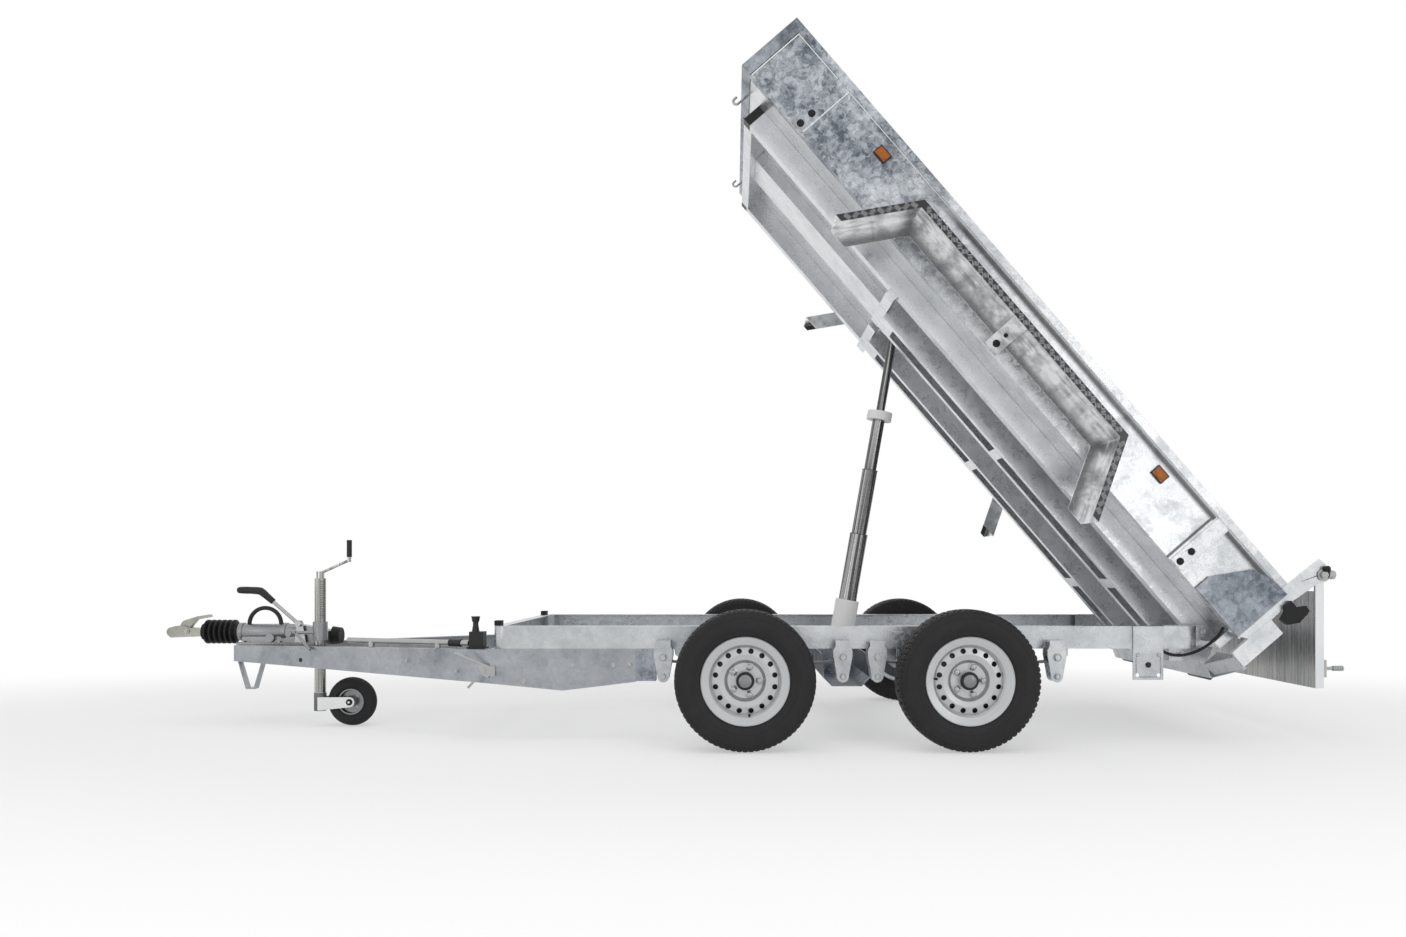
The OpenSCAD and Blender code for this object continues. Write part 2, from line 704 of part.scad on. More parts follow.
// BED, drawn lowered with the hinge line at the origin

front_wall = 57;

module bed_floor() {
    color(galv) raised()
        translate([-bed_l + front_wall, -bed_y + sheet_t, floor_up])
            cube([bed_l - front_wall + sill_front, bed_w - 2 * sheet_t, sheet_t]);
}

post_w = 70;
post_t = 6;
post_fwd = [bed_l - 375, 366];
plug_up = [84, 152];
plug_d = 32;

// Folded side sheet with a box-like top rail and two raised posts
module bed_side(side) {
    rail_out = 8;
    section = [[bed_y - 40, floor_up - sheet_t], [bed_y, floor_up - sheet_t], [bed_y, wall_top - top_rail],
        [bed_y + rail_out, wall_top - top_rail], [bed_y + rail_out, wall_top], [bed_y - 32, wall_top],
        [bed_y - 32, wall_top - top_rail], [bed_y - 32 + sheet_t, wall_top - top_rail],
        [bed_y - 32 + sheet_t, wall_top - sheet_t], [bed_y + rail_out - sheet_t, wall_top - sheet_t],
        [bed_y + rail_out - sheet_t, wall_top - top_rail + sheet_t],
        [bed_y - sheet_t, wall_top - top_rail + sheet_t],
        [bed_y - sheet_t, floor_up], [bed_y - 40, floor_up]];
    color(galv) raised() on_side(side) difference() {
        union() {
            translate([-bed_l + front_wall, 0, 0]) rotate([90, 0, 90])
                linear_extrude(bed_l - front_wall + sill_front) polygon(section);
            for (f = post_fwd)
                translate([-f - post_w / 2, bed_y, floor_up]) cube([post_w, post_t, wall_h - top_rail]);
        }
        for (f = post_fwd, up = plug_up)
            cross_bar(-f, up, plug_d, bed_y - 20, bed_y + post_t + 1);
    }
}

module bed_side_left() { bed_side(left); }
module bed_side_right() { bed_side(right); }

module bed_front() {
    inside = [front_wall - 2 * sheet_t, bed_w + 16 - 2 * sheet_t, wall_h - 2 * sheet_t];
    color(dark_galv) raised() difference() {
        translate([-bed_l, -bed_y - 8, floor_up - sheet_t]) cube([front_wall, bed_w + 16, wall_h + sheet_t]);
        translate([-bed_l + sheet_t, -bed_y - 8 + sheet_t, floor_up]) cube(inside + [0, 0, sheet_t]);
        // drain slots
        for (y = [-300, 280]) translate([-bed_l + 20, y, floor_up - sheet_t - 1]) cube([20, 20, sheet_t + 2]);
    }
}

tube_front = bed_l - 165;
tube_rear = 35;
cap_l = 42;

// Longitudinal tubes that hang between the chassis rails, bored for the hinge pins
module bed_tubes() {
    wall = 4;
    color(galv) raised() both_sides() difference() {
        translate([-tube_front, tube_y - tube_w, tube_low]) cube([tube_front + tube_rear, tube_w, tube_h]);
        translate([-tube_front - 1, tube_y - tube_w + wall, tube_low + wall])
            cube([tube_front + tube_rear + 2, tube_w - 2 * wall, tube_h - 2 * wall]);
        cross_bar(0, 0, hinge_d + 2 * pin_run, tube_y - tube_w - 1, tube_y + 1);
    }
}

// Black caps on the tubes and black plugs in the posts
module bed_plugs() {
    color(rubber) raised() both_sides() {
        translate([-tube_front - cap_l, tube_y - tube_w, tube_low]) cube([cap_l, tube_w, tube_h]);
        for (f = post_fwd, up = plug_up)
            cross_bar(-f, up, plug_d - 2 * run, bed_y - 12, bed_y + post_t + 4);
    }
}

beam_in_y = 181;
beam_out_y = 379;
beam_drop = 153;
carrier_fwd = pin_fwd + 70;           // rear face of the cylinder carrier
carrier_w = 55;
front_member = bed_l - 178;           // rear face of the front cross-member

// Two deep open channels along the floor with straps, and a hat beam ahead of the cylinder
module bed_beams() {
    lip = 40;
    low = floor_up - beam_drop;
    channel_l = carrier_fwd - 5;
    hat_y = 142;
    hat_h = floor_up - 2;
    color(galv) raised() {
        both_sides() {
            translate([-channel_l, 0, 0]) rotate([90, 0, 90]) linear_extrude(channel_l + 15)
                for (p = [[beam_in_y, 0], [beam_out_y, 1]]) translate([p.x, 0]) mirror([p.y, 0])
                    polygon([[0, low], [lip, low], [lip, low + sheet_t], [sheet_t, low + sheet_t],
                             [sheet_t, floor_up], [0, floor_up]]);
            // straps across the open side: how far ahead of the hinge, and length
            for (p = [[channel_l - 42, 84], [1243, 60], [380, 60]])
                translate([-p.x - p.y / 2, beam_in_y, low]) cube([p.y, beam_out_y - beam_in_y, sheet_t + 2]);
        }
        // hat beam from the cylinder carrier to the front cross-member
        translate([-front_member + run, 0, floor_up - hat_h]) rotate([90, 0, 90])
            linear_extrude(front_member - carrier_fwd - carrier_w - 1 - run) difference() {
                translate([-hat_y, 0]) square([2 * hat_y, hat_h]);
                translate([-hat_y + sheet_t, sheet_t]) square([2 * (hat_y - sheet_t), hat_h]);
            }
    }
}

cheek_y = 52;

// Cross-members of the bed: front, cylinder carrier with its cheeks, and rear sill
module bed_crossmembers() {
    front_y = tube_y - tube_w - run;
    sill = [sill_rear - sill_front, bed_w - 120, floor_top + 20];
    color(galv) raised() {
        translate([-front_member - carrier_w, -front_y, tube_low]) difference() {
            cube([carrier_w, 2 * front_y, tube_h]);
            translate([sheet_t, -1, sheet_t])
                cube([carrier_w - 2 * sheet_t, 2 * front_y + 2, tube_h - 2 * sheet_t]);
        }
        both_sides() {
            translate([-carrier_fwd - carrier_w, cheek_y, tube_low - 29])
                cube([carrier_w, tube_y - cheek_y, 29]);
            side_plate([[-carrier_fwd - carrier_w, floor_up], [-carrier_fwd - carrier_w, tube_low - 5],
                        [-carrier_fwd, tube_low - 5], [-pin_fwd + 40, -20], [-pin_fwd + 40, floor_up]],
                cheek_y, cheek_y + 12);
        }
        translate([sill_front, -sill.y / 2, -20]) difference() {
            cube(sill);
            translate([-1, sheet_t, sheet_t])
                cube([sill.x - sheet_t + 1, sill.y - 2 * sheet_t, sill.z - 2 * sheet_t]);
        }
    }
}

// Rear corner posts with gusset plates and the arms that carry the tailgate
module rear_posts() {
    gusset_t = 8;
    gusset_y = bed_y + 8;
    pivot = [gate_pivot_back, gate_pivot_up];
    color(dark_galv) raised() both_sides() {
        difference() {
            side_plate(concat([[-230, floor_up - 4], [-230, 135], [-122, 310], [-10, wall_top - top_rail],
                [28, wall_top - top_rail + 5], [36, pivot.y + 35], [pivot.x - 27, pivot.y + 41]],
                arc(pivot, 34, 80, -60, 10), [[104, wall_top - top_rail], [106, 88], [60, floor_up - 4]]),
                gusset_y, gusset_y + gusset_t);
            cross_bar(pivot.x, pivot.y, 22 + 2 * pin_run, bed_y, bed_y + 40);
        }
        translate([sill_front, bed_y - 54, floor_up - sheet_t])
            cube([sill_rear - sill_front, 62, wall_h + sheet_t]);
        // catch block that closes the bed's rear corner
        translate([100, board_end_y, -15]) cube([85, gusset_y + 10 - board_end_y, 235]);
    }
}

fender_top = [2342, 989];             // front and rear ends of the top, ahead of the hinge line
fender_tip = [[2546, -135], [788, -146]];

// Folded tread-plate fender: top, two sloping ends, an outer flange, an inner apron and a bracket
module fender(side) {
    front_tip = fender_tip[0];
    rear_tip = fender_tip[1];
    outer = [[-front_tip.x, front_tip.y], [-fender_top[0], fender_up], [-fender_top[1], fender_up],
             [-rear_tip.x, rear_tip.y]];
    // inner edge of a band d wide that follows the outline
    function band(d) = concat(outer, [
        [-rear_tip.x - d * 1.17, rear_tip.y], [-fender_top[1] - d * 0.55, fender_up - d],
        [-fender_top[0] + d * 0.55, fender_up - d], [-front_tip.x + d * 1.17, front_tip.y]]);
    mid = -(fender_top[0] + fender_top[1]) / 2;
    low = fender_up - fender_t;
    color("gainsboro") raised() on_side(side) {
        side_plate(band(fender_t), bed_y, fender_y);
        side_plate(band(fender_flange), fender_y - fender_t, fender_y);
        side_plate(band(80), bed_y, bed_y + fender_t);
        // slanting bracket in the middle
        translate([mid - 40, 0, 0]) rotate([90, 0, 90]) linear_extrude(80)
            polygon([[bed_y, 62], [bed_y, 118], [bed_y + 5, 118], [bed_y + 8, 76], [fender_y - 48, low + 1],
                     [fender_y - 38, low + 1], [bed_y + 12, 62]]);
    }
}

module fender_left() { fender(left); }
module fender_right() { fender(right); }

board_y = 620;
board_end_y = bed_y - 6;              // the board's ends meet the catch blocks of the rear corners here
board_rear = 205;
board_low = -108;

// Folded lamp board behind the sill, its ends rising to the rear corners
module lamp_board() {
    front = 128;
    end_low = -15;
    color(galv) raised() {
        difference() {
            side_plate([[90, 0], [front, -82], [board_rear - 6, board_low], [board_rear, board_low + 8],
                        [board_rear, 0]], -board_y, board_y);
            side_plate([[95, 1], [front + 4, -77], [board_rear - 8, board_low + 7],
                        [board_rear - 4, board_low + 11], [board_rear - 4, 1]], -board_y - 1, board_y + 1);
        }
        translate([sill_rear, -board_y + 20, -16]) cube([22, 2 * board_y - 40, 8]);
        both_sides() {
            // sloping ends: front and rear faces, and the sheet under them
            for (p = [[front, -82], [board_rear - 4, board_low + 8]])
                translate([p.x, 0, 0]) rotate([90, 0, 90]) linear_extrude(4)
                    polygon([[board_y - 1, 0], [board_y - 1, p.y], [board_end_y, end_low], [board_end_y, 0]]);
            translate([front, 0, 0]) rotate([90, 0, 90]) linear_extrude(board_rear - front)
                polygon([[board_y - 1, board_low + 18], [board_end_y, end_low], [board_end_y, end_low + 4],
                         [board_y - 1, board_low + 22]]);
        }
    }
}

module tail_lamps() {
    color("firebrick") raised() both_sides()
        translate([board_rear, 330, -92]) cube([22, 230, 74]);
}

module outline_lamps() {
    lamp_y = bed_y + 16;
    color(rubber) raised() both_sides()
        side_plate([[88, 336], [88, 300], [111, 284], [124, 246], [160, 251], [190, 300], [179, 369],
                    [151, 373], [128, 336]], lamp_y, lamp_y + 26);
}

module side_markers() {
    color("darkorange") raised() both_sides()
        for (f = [bed_l - 727, 726]) translate([-f - 32, bed_y, 252]) cube([64, 10, 44]);
}

module rope_hooks() {
    rod = 12;
    turn = 14;
    low = 6;
    color("gainsboro") raised() both_sides() translate([-bed_l + 32, 545, low]) {
        cylinder(d = rod, h = floor_up - sheet_t - low);
        translate([-turn, 0, 0]) rotate([90, 0, 0]) rotate([0, 0, 180]) rotate_extrude(angle = 180)
            translate([turn, 0]) circle(d = rod);
        translate([-2 * turn, 0, 0]) cylinder(d = rod, h = 16);
    }
}

// TAILGATE, hanging from its pivot

gate_x = hinge_x + gate_pivot_back * cos(tilt) + gate_pivot_up * sin(tilt);
gate_z = hinge_z - gate_pivot_back * sin(tilt) + gate_pivot_up * cos(tilt);
gate_y = 800;

module tailgate() {
    panel_top = -75;
    skin = 4;
    post = 45;
    color(galv) translate([gate_x, 0, gate_z]) {
        difference() {
            translate([-gate_t / 2, -gate_y, -gate_drop]) cube([gate_t, 2 * gate_y, gate_drop + panel_top]);
            translate([-gate_t / 2 + skin, -gate_y + post, -gate_drop + post])
                cube([gate_t, 2 * gate_y - 2 * post, gate_drop + panel_top - 2 * post]);
        }
        both_sides() {
            side_plate(concat([[-gate_t / 2, panel_top]], arc([0, 0], gate_t / 2, 180, 0, 10),
                [[gate_t / 2, panel_top]]), gate_y - 12, gate_y);
            cross_bar(0, 0, 22, gate_y, bed_y + 24);
        }
    }
}

module tailgate_latch() {
    reach = 2903;
    low = 350;
    color("gainsboro") both_sides() {
        translate([gate_x + gate_t / 2, gate_y - 40, low - 40]) cube([16, 34, 80]);
        rod_between([gate_x + gate_t / 2 + 16, gate_y - 23, low], [reach, gate_y - 23, low], 16);
    }
}

// TIPPING CYLINDER, drawn along its axis from the trunnion

pin_x = hinge_x - pin_fwd * cos(tilt);
pin_z = hinge_z + pin_fwd * sin(tilt);
cylinder_l = norm([pin_x - trunnion_x, pin_z - trunnion_z]);
cylinder_lean = atan2(pin_x - trunnion_x, pin_z - trunnion_z);
stage_d = [95, 80, 65, 45];
stage_top = [664, 1010, 1324];        // tops of the first three stages above the trunnion
stage_low = [-90, -84, -78, -72];     // undersides when the cylinder is closed
stroke = [350, 341, 265, 360];
slide_gap = 0.5;

module along_cylinder() {
    translate([trunnion_x, 0, trunnion_z]) rotate([0, cylinder_lean, 0]) children();
}

module cylinder_barrel() {
    color("whitesmoke") along_cylinder() {
        difference() {
            translate([0, 0, -barrel_down]) cylinder(d = barrel_d, h = barrel_down + barrel_up);
            translate([0, 0, stage_low[0] - 2]) cylinder(d = stage_d[0] + 2 * slide_gap, h = barrel_up + 200);
        }
        for (s = [-1, 1]) on_side(s) cross_bar(0, 0, trunnion_d, barrel_d / 2 - 4, window_y + 12);
    }
}

// Sum of the strokes up to and with one stage
function travel(i) = i < 0 ? 0 : stroke[i] + travel(i - 1);

module stage_tube(i) {
    low = stage_low[i] + travel(i);
    difference() {
        translate([0, 0, low]) cylinder(d = stage_d[i], h = stage_top[i] - low);
        translate([0, 0, low + 4]) cylinder(d = stage_d[i + 1] + 2 * slide_gap, h = stage_top[i] - low);
    }
}

module cylinder_stage_1() { color("lightgray") along_cylinder() stage_tube(0); }
module cylinder_stage_2() { color("lightgray") along_cylinder() stage_tube(1); }

collar_d = 131;
collar_h = 45;

module cylinder_stage_3() { color("lightgray") along_cylinder() stage_tube(2); }

// Plastic collar round the top of the third stage
module cylinder_collar() {
    color("white") along_cylinder() translate([0, 0, stage_top[2] - collar_h]) difference() {
        cylinder(d = collar_d, h = collar_h);
        translate([0, 0, -1]) cylinder(d = stage_d[2] + 2 * pin_run, h = collar_h + 2);
    }
}

module cylinder_rod() {
    low = stage_low[3] + travel(3);
    color("lightgray") along_cylinder() {
        translate([0, 0, low]) cylinder(d = stage_d[3], h = cylinder_l - low);
        translate([0, 0, cylinder_l]) {
            cross_bar(0, 0, 62, -26, 26);
            cross_bar(0, 0, 30, -cheek_y + 5, cheek_y - 5);
        }
    }
}

chassis_frame();
cylinder_crossbeam();
drawbar_left();
drawbar_right();
drawbar_ties();
drawbar_spacers();
overrun_housing();
bellows();
coupling_head();
handbrake_lever();
hand_grips();
jockey_clamp();
hand_pump();
pump_lever();
bed_latches();
leaf_springs();
spring_hangers();
axles();
rear_plates();
rail_buffers();
jockey_post();
crank_grip();
jockey_fork();
jockey_rim();
jockey_tyre();
tyre_fl();
rim_fl();
tyre_fr();
rim_fr();
tyre_rl();
rim_rl();
tyre_rr();
rim_rr();
bed_floor();
bed_side_left();
bed_side_right();
bed_front();
bed_tubes();
bed_plugs();
bed_beams();
bed_crossmembers();
rear_posts();
fender_left();
fender_right();
lamp_board();
tail_lamps();
outline_lamps();
side_markers();
rope_hooks();
tailgate();
tailgate_latch();
cylinder_barrel();
cylinder_stage_1();
cylinder_stage_2();
cylinder_stage_3();
cylinder_collar();
cylinder_rod();
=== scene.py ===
import json
import math

import bmesh
import bpy
from mathutils import Matrix, Vector


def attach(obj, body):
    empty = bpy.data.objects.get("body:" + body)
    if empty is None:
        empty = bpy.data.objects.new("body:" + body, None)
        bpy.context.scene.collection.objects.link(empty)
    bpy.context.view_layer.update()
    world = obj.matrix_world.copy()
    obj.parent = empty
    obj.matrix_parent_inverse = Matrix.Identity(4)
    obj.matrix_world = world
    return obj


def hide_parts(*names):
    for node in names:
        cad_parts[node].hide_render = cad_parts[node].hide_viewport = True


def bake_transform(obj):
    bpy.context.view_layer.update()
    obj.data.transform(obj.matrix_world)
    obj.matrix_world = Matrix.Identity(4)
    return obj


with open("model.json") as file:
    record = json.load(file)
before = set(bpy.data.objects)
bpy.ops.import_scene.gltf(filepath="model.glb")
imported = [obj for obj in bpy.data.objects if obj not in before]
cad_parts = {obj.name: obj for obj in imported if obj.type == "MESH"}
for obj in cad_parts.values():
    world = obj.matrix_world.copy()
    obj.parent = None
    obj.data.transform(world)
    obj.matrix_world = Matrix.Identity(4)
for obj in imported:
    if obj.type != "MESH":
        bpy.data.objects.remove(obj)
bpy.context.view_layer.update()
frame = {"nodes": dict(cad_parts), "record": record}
scene = bpy.context.scene
scene.view_settings.view_transform = "Standard"
print("frame loaded,", len(frame["nodes"]), "nodes")

# places shared by several pieces, in metres
bedTilt = math.radians(49.1)
hingeAt = (2.313, 0.0, 0.510)
trunnionAt = (0.655, 0.0, 0.340)
cylinderLean = math.radians(9.9025)
bedPlace = Matrix.Translation(hingeAt) @ Matrix.Rotation(bedTilt, 4, "Y")  # lowered bed to raised bed
cylinderPlace = Matrix.Translation(trunnionAt) @ Matrix.Rotation(cylinderLean, 4, "Y")
wheelAt = {"axles": {"f": 0.151, "r": 1.136}, "trackHalf": 0.939, "height": 0.314}


# camera where the picture was taken from, level, its frame shifted as there
viewpoint = {"place": (0.093, -5.65, 0.795), "lens": 27.14, "sensor": 36.0, "shift": (-0.0206, 0.0733)}


def placeCamera(v):
    lensData = bpy.data.cameras.new("viewpoint")
    lensData.lens = v["lens"]
    lensData.sensor_width = v["sensor"]
    lensData.shift_x, lensData.shift_y = v["shift"]
    lensData.clip_end = 200
    camera = bpy.data.objects.new("viewpoint", lensData)
    camera.location = v["place"]
    camera.rotation_euler = (math.radians(90), 0, 0)
    scene.collection.objects.link(camera)
    scene.camera = camera


placeCamera(viewpoint)


class Wire:
    # one output socket; arithmetic on it adds Math nodes
    def __init__(self, socket):
        self.socket = socket
        self.tree = socket.id_data

    def node(self, kind, settings, sockets, out=0):
        made = self.tree.nodes.new(kind)
        for name, value in settings.items():
            setattr(made, name, value)
        for name, value in sockets.items():
            feed(made, name, value)
        return Wire(made.outputs[out])

    def maths(self, operation, left, right=0.0):
        return self.node("ShaderNodeMath", {"operation": operation}, {0: left, 1: right})

    def __add__(self, other):
        return self.maths("ADD", self, other)

    def __radd__(self, other):
        return self.maths("ADD", other, self)

    def __sub__(self, other):
        return self.maths("SUBTRACT", self, other)

    def __rsub__(self, other):
        return self.maths("SUBTRACT", other, self)

    def __mul__(self, other):
        return self.maths("MULTIPLY", self, other)

    def __rmul__(self, other):
        return self.maths("MULTIPLY", other, self)


def startFinish(name):
    made = bpy.data.materials.new(name)
    made.use_nodes = True
    shader = made.node_tree.nodes["Principled BSDF"]
    coords = made.node_tree.nodes.new("ShaderNodeTexCoord")
    return made, shader, Wire(coords.outputs["Object"])


def feed(node, socket, value):
    if isinstance(value, Wire):
        value.tree.links.new(value.socket, node.inputs[socket])
    else:
        node.inputs[socket].default_value = value


def noise(at, scale, detail=3.0, rough=0.55):
    sockets = {"Vector": at, "Scale": scale, "Detail": detail, "Roughness": rough}
    return at.node("ShaderNodeTexNoise", {}, sockets)


def ramp(at, low, high):
    return at.node("ShaderNodeMapRange", {"clamp": True}, {"Value": at, "From Min": low, "From Max": high})


def asColour(value):
    return value if isinstance(value, Wire) else (*value, 1)


def blend(amount, first, second):
    sockets = {0: amount, 6: asColour(first), 7: asColour(second)}
    return amount.node("ShaderNodeMix", {"data_type": "RGBA"}, sockets, 2)


def bump(height, strength, distance):
    return height.node("ShaderNodeBump", {}, {"Height": height, "Strength": strength, "Distance": distance})


def part(at, axis):
    return at.node("ShaderNodeSeparateXYZ", {}, {"Vector": at}, axis)


def magnitude(value):
    return value.maths("ABSOLUTE", value)


def stretched(at, scale, turn=(0, 0, 0)):
    return at.node("ShaderNodeMapping", {}, {"Vector": at, "Scale": scale, "Rotation": turn})


def bedAxes(at):
    # how far behind the hinge line and above it a point of the bed is
    behind = part(at, 0) - hingeAt[0]
    over = part(at, 2) - hingeAt[2]
    back = behind * math.cos(bedTilt) - over * math.sin(bedTilt)
    up = behind * math.sin(bedTilt) + over * math.cos(bedTilt)
    return back, up


# where the bed's sheets change and where painted reflection and shade lie on them, measured along the bed
# from the hinge and above it
sheetZones = {
    "sheenSpan": (-2.55, -1.75), "sheenWander": 0.9,
    "roll": 0.331, "rollCore": 0.006, "rollFade": 0.024, "rollStart": (-2.45, -2.15),
    "rollTop": (0.335, 0.347), "rollPaintedDepth": 0.88, "outerFace": (0.806, 0.809),
    "post": -0.366, "postEdge": (0.040, 0.042), "postRoll": -0.419, "postCore": 0.003, "postFade": 0.010,
    "arm": (0.348, 0.354), "catch": (0.062, 0.068),
}


def paintedSheenOfSides(at):
    # the side sheets are darker and mottled at the front and paler further back: the zinc's own mottling
    # under a painted reflection, dark at the front and bright at the rear
    back = bedAxes(at)[0]
    return ramp(back + (noise(at, 2.6, 4) - 0.5) * sheetZones["sheenWander"], *sheetZones["sheenSpan"])


def paintedDarkRolls(at):
    # behind the fender's front corner a dark band is painted into the colour under the rail and beside the
    # post: painted reflection and shade in the rolls
    s = sheetZones
    back, up = bedAxes(at)
    under = 1 - ramp(magnitude(up - s["roll"]), s["rollCore"], s["rollFade"])
    onPost = 1 - ramp(magnitude(back - s["post"]), *s["postEdge"])
    beside = 1 - ramp(magnitude(back - s["postRoll"]), s["postCore"], s["postFade"])
    beside = beside * (1 - ramp(up, *s["rollTop"]))
    outside = ramp(magnitude(part(at, 1)), *s["outerFace"])
    along = under * (1 - onPost) * ramp(back, *s["rollStart"])
    return at.maths("MAXIMUM", along, beside) * outside * s["rollPaintedDepth"]


def armsOfPosts(at):
    # arm and catch block of the rear posts are clean, the gusset isn't
    back, up = bedAxes(at)
    return 1 - (1 - ramp(up, *sheetZones["arm"])) * (1 - ramp(back, *sheetZones["catch"]))


# hot-dip zinc: crystal flakes of several greys, clouded, with runs and dull patches
zincFinishes = {
    "galvanised": {
        "dark": (0.34, 0.36, 0.38), "light": (0.71, 0.73, 0.75),
        "flake": 60, "contrast": 0.20, "rough": 0.30,
    },
    # a paler copy of the zinc for the parts under the bed: painted light
    "underZincPaintedLight": {
        "dark": (0.55, 0.565, 0.585), "light": (0.86, 0.87, 0.88),
        "flake": 60, "contrast": 0.12, "rough": 0.30,
    },
    "dark_galvanised": {
        "dark": (0.11, 0.13, 0.155), "light": (0.48, 0.51, 0.56),
        "flake": 46, "contrast": 0.5, "rough": 0.34,
    },
    # a darker copy of the zinc for the drawbar: painted dark reflection
    "drawbarZincPaintedDark": {
        "dark": (0.24, 0.255, 0.275), "light": (0.47, 0.49, 0.515),
        "flake": 52, "contrast": 0.3, "rough": 0.34,
    },
    # side sheets: darker at the front and paler at the rear as painted reflection, over the zinc's own
    # mottling
    "sideSheet": {
        "dark": (0.10, 0.12, 0.145), "light": (0.60, 0.63, 0.67),
        "flake": 52, "contrast": 0.70, "rough": 0.27,
        "pale": paintedSheenOfSides, "paleDark": (0.52, 0.54, 0.56), "paleLight": (0.80, 0.81, 0.82),
        # a dark band in the rolls under the rail and beside the post: painted reflection and shade
        "paintedDark": paintedDarkRolls, "paintedDarkTone": (0.035, 0.040, 0.038),
    },
    "postSheet": {
        "dark": (0.11, 0.13, 0.155), "light": (0.46, 0.49, 0.54),
        "flake": 46, "contrast": 0.5, "rough": 0.32,
        "pale": armsOfPosts, "paleDark": (0.56, 0.58, 0.60), "paleLight": (0.80, 0.81, 0.82),
    },
}


def zincFinish(name, z):
    made, shader, at = startFinish(name)
    wobble = noise(at, 9, 4)
    drift = at.node("ShaderNodeTexNoise", {}, {"Vector": at, "Scale": 14.0, "Detail": 3.0}, 1)
    shift = {0: drift, 1: (0.05, 0.05, 0.05), 2: at}
    warped = at.node("ShaderNodeVectorMath", {"operation": "MULTIPLY_ADD"}, shift)
    cells = at.node("ShaderNodeTexVoronoi", {}, {"Vector": warped, "Scale": float(z["flake"])}, 1)
    fineCells = at.node("ShaderNodeTexVoronoi", {}, {"Vector": warped, "Scale": z["flake"] * 3.1}, 1)
    flake = part(cells, 0)
    fineFlake = part(fineCells, 1)
    cloud = ramp(noise(warped, 4.2, 6, 0.66), 0.30, 0.70)
    dull = ramp(noise(warped, 11, 6, 0.68), 0.50, 0.66)
    grain = noise(at, 160, 2)
    contrast = z["contrast"]
    tone = 0.5 + (flake - 0.5) * (0.55 * contrast) + (fineFlake - 0.5) * (0.30 * contrast)
    tone = tone + (cloud - 0.5) * (0.35 + 0.6 * contrast) - dull * (0.5 * contrast) + (grain - 0.5) * 0.10
    tone = ramp(tone, 0.08, 0.92)
    colour = blend(tone, z["dark"], z["light"])
    # pale blends in a paler zinc; on the side sheets it is painted reflection, bright at the rear
    if "pale" in z:
        colour = blend(z["pale"](at), colour, blend(tone, z["paleDark"], z["paleLight"]))
    # darkens the rolls of the side sheets: painted reflection and shade
    if "paintedDark" in z:
        colour = blend(z["paintedDark"](at), colour, z["paintedDarkTone"])
    feed(shader, "Base Color", colour)
    feed(shader, "Roughness", z["rough"] + (flake - 0.5) * 0.12 + dull * 0.14 + (grain - 0.5) * 0.08)
    feed(shader, "Metallic", 0.85)
    feed(shader, "Normal", bump(fineFlake * 0.3 + wobble * 1.2 + grain * 0.12, 0.08, 0.003))
    return made


# tailgate: clean frame, inner face drawn with upright streaks
gateSheet = {
    "frame": (0.80, 0.81, 0.82), "frameDull": (0.66, 0.68, 0.69), "innerFace": 2.7625, "rough": 0.28,
    "streakDark": (0.22, 0.23, 0.23), "streakLight": (0.52, 0.52, 0.505),
}


def gateFinish(name, g):
    made, shader, at = startFinish(name)
    streak = noise(stretched(at, (30, 60, 2.2)), 1.0, 4, 0.6)
    cloud = noise(at, 4, 4)
    inner = 1 - ramp(part(at, 0), g["innerFace"], g["innerFace"] + 0.001)
    drawn = blend(ramp(streak + (cloud - 0.5) * 0.5, 0.3, 0.72), g["streakDark"], g["streakLight"])
    feed(shader, "Base Color", blend(inner, blend(cloud, g["frame"], g["frameDull"]), drawn))
    feed(shader, "Roughness", g["rough"] + (streak - 0.5) * 0.2)
    feed(shader, "Metallic", 0.85)
    feed(shader, "Normal", bump(streak, 0.08, 0.002))
    return made


# fender sheet: bright inside; its outer flange is painted near black, painted shade between the raised bars
fenderSheet = {
    "inside": (0.84, 0.85, 0.855), "worn": (0.46, 0.465, 0.475), "flange": (0.05, 0.0525, 0.055),
    "edge": 1.0425, "rough": 0.20,
}


def fenderFinish(name, f):
    made, shader, at = startFinish(name)
    smear = noise(stretched(at, (8, 14, 8)), 1.6, 5, 0.62)
    grain = noise(at, 190, 3)
    outer = ramp(magnitude(part(at, 1)), f["edge"], f["edge"] + 0.0005)
    sheet = blend(ramp(smear, 0.44, 0.64), f["inside"], f["worn"])
    # the outer flange takes the near-black colour: painted shade
    feed(shader, "Base Color", blend(outer, sheet, f["flange"]))
    feed(shader, "Roughness", f["rough"] + (smear - 0.5) * 0.2 + (grain - 0.5) * 0.1)
    feed(shader, "Metallic", 0.9)
    feed(shader, "Normal", bump(grain, 0.08, 0.001))
    return made


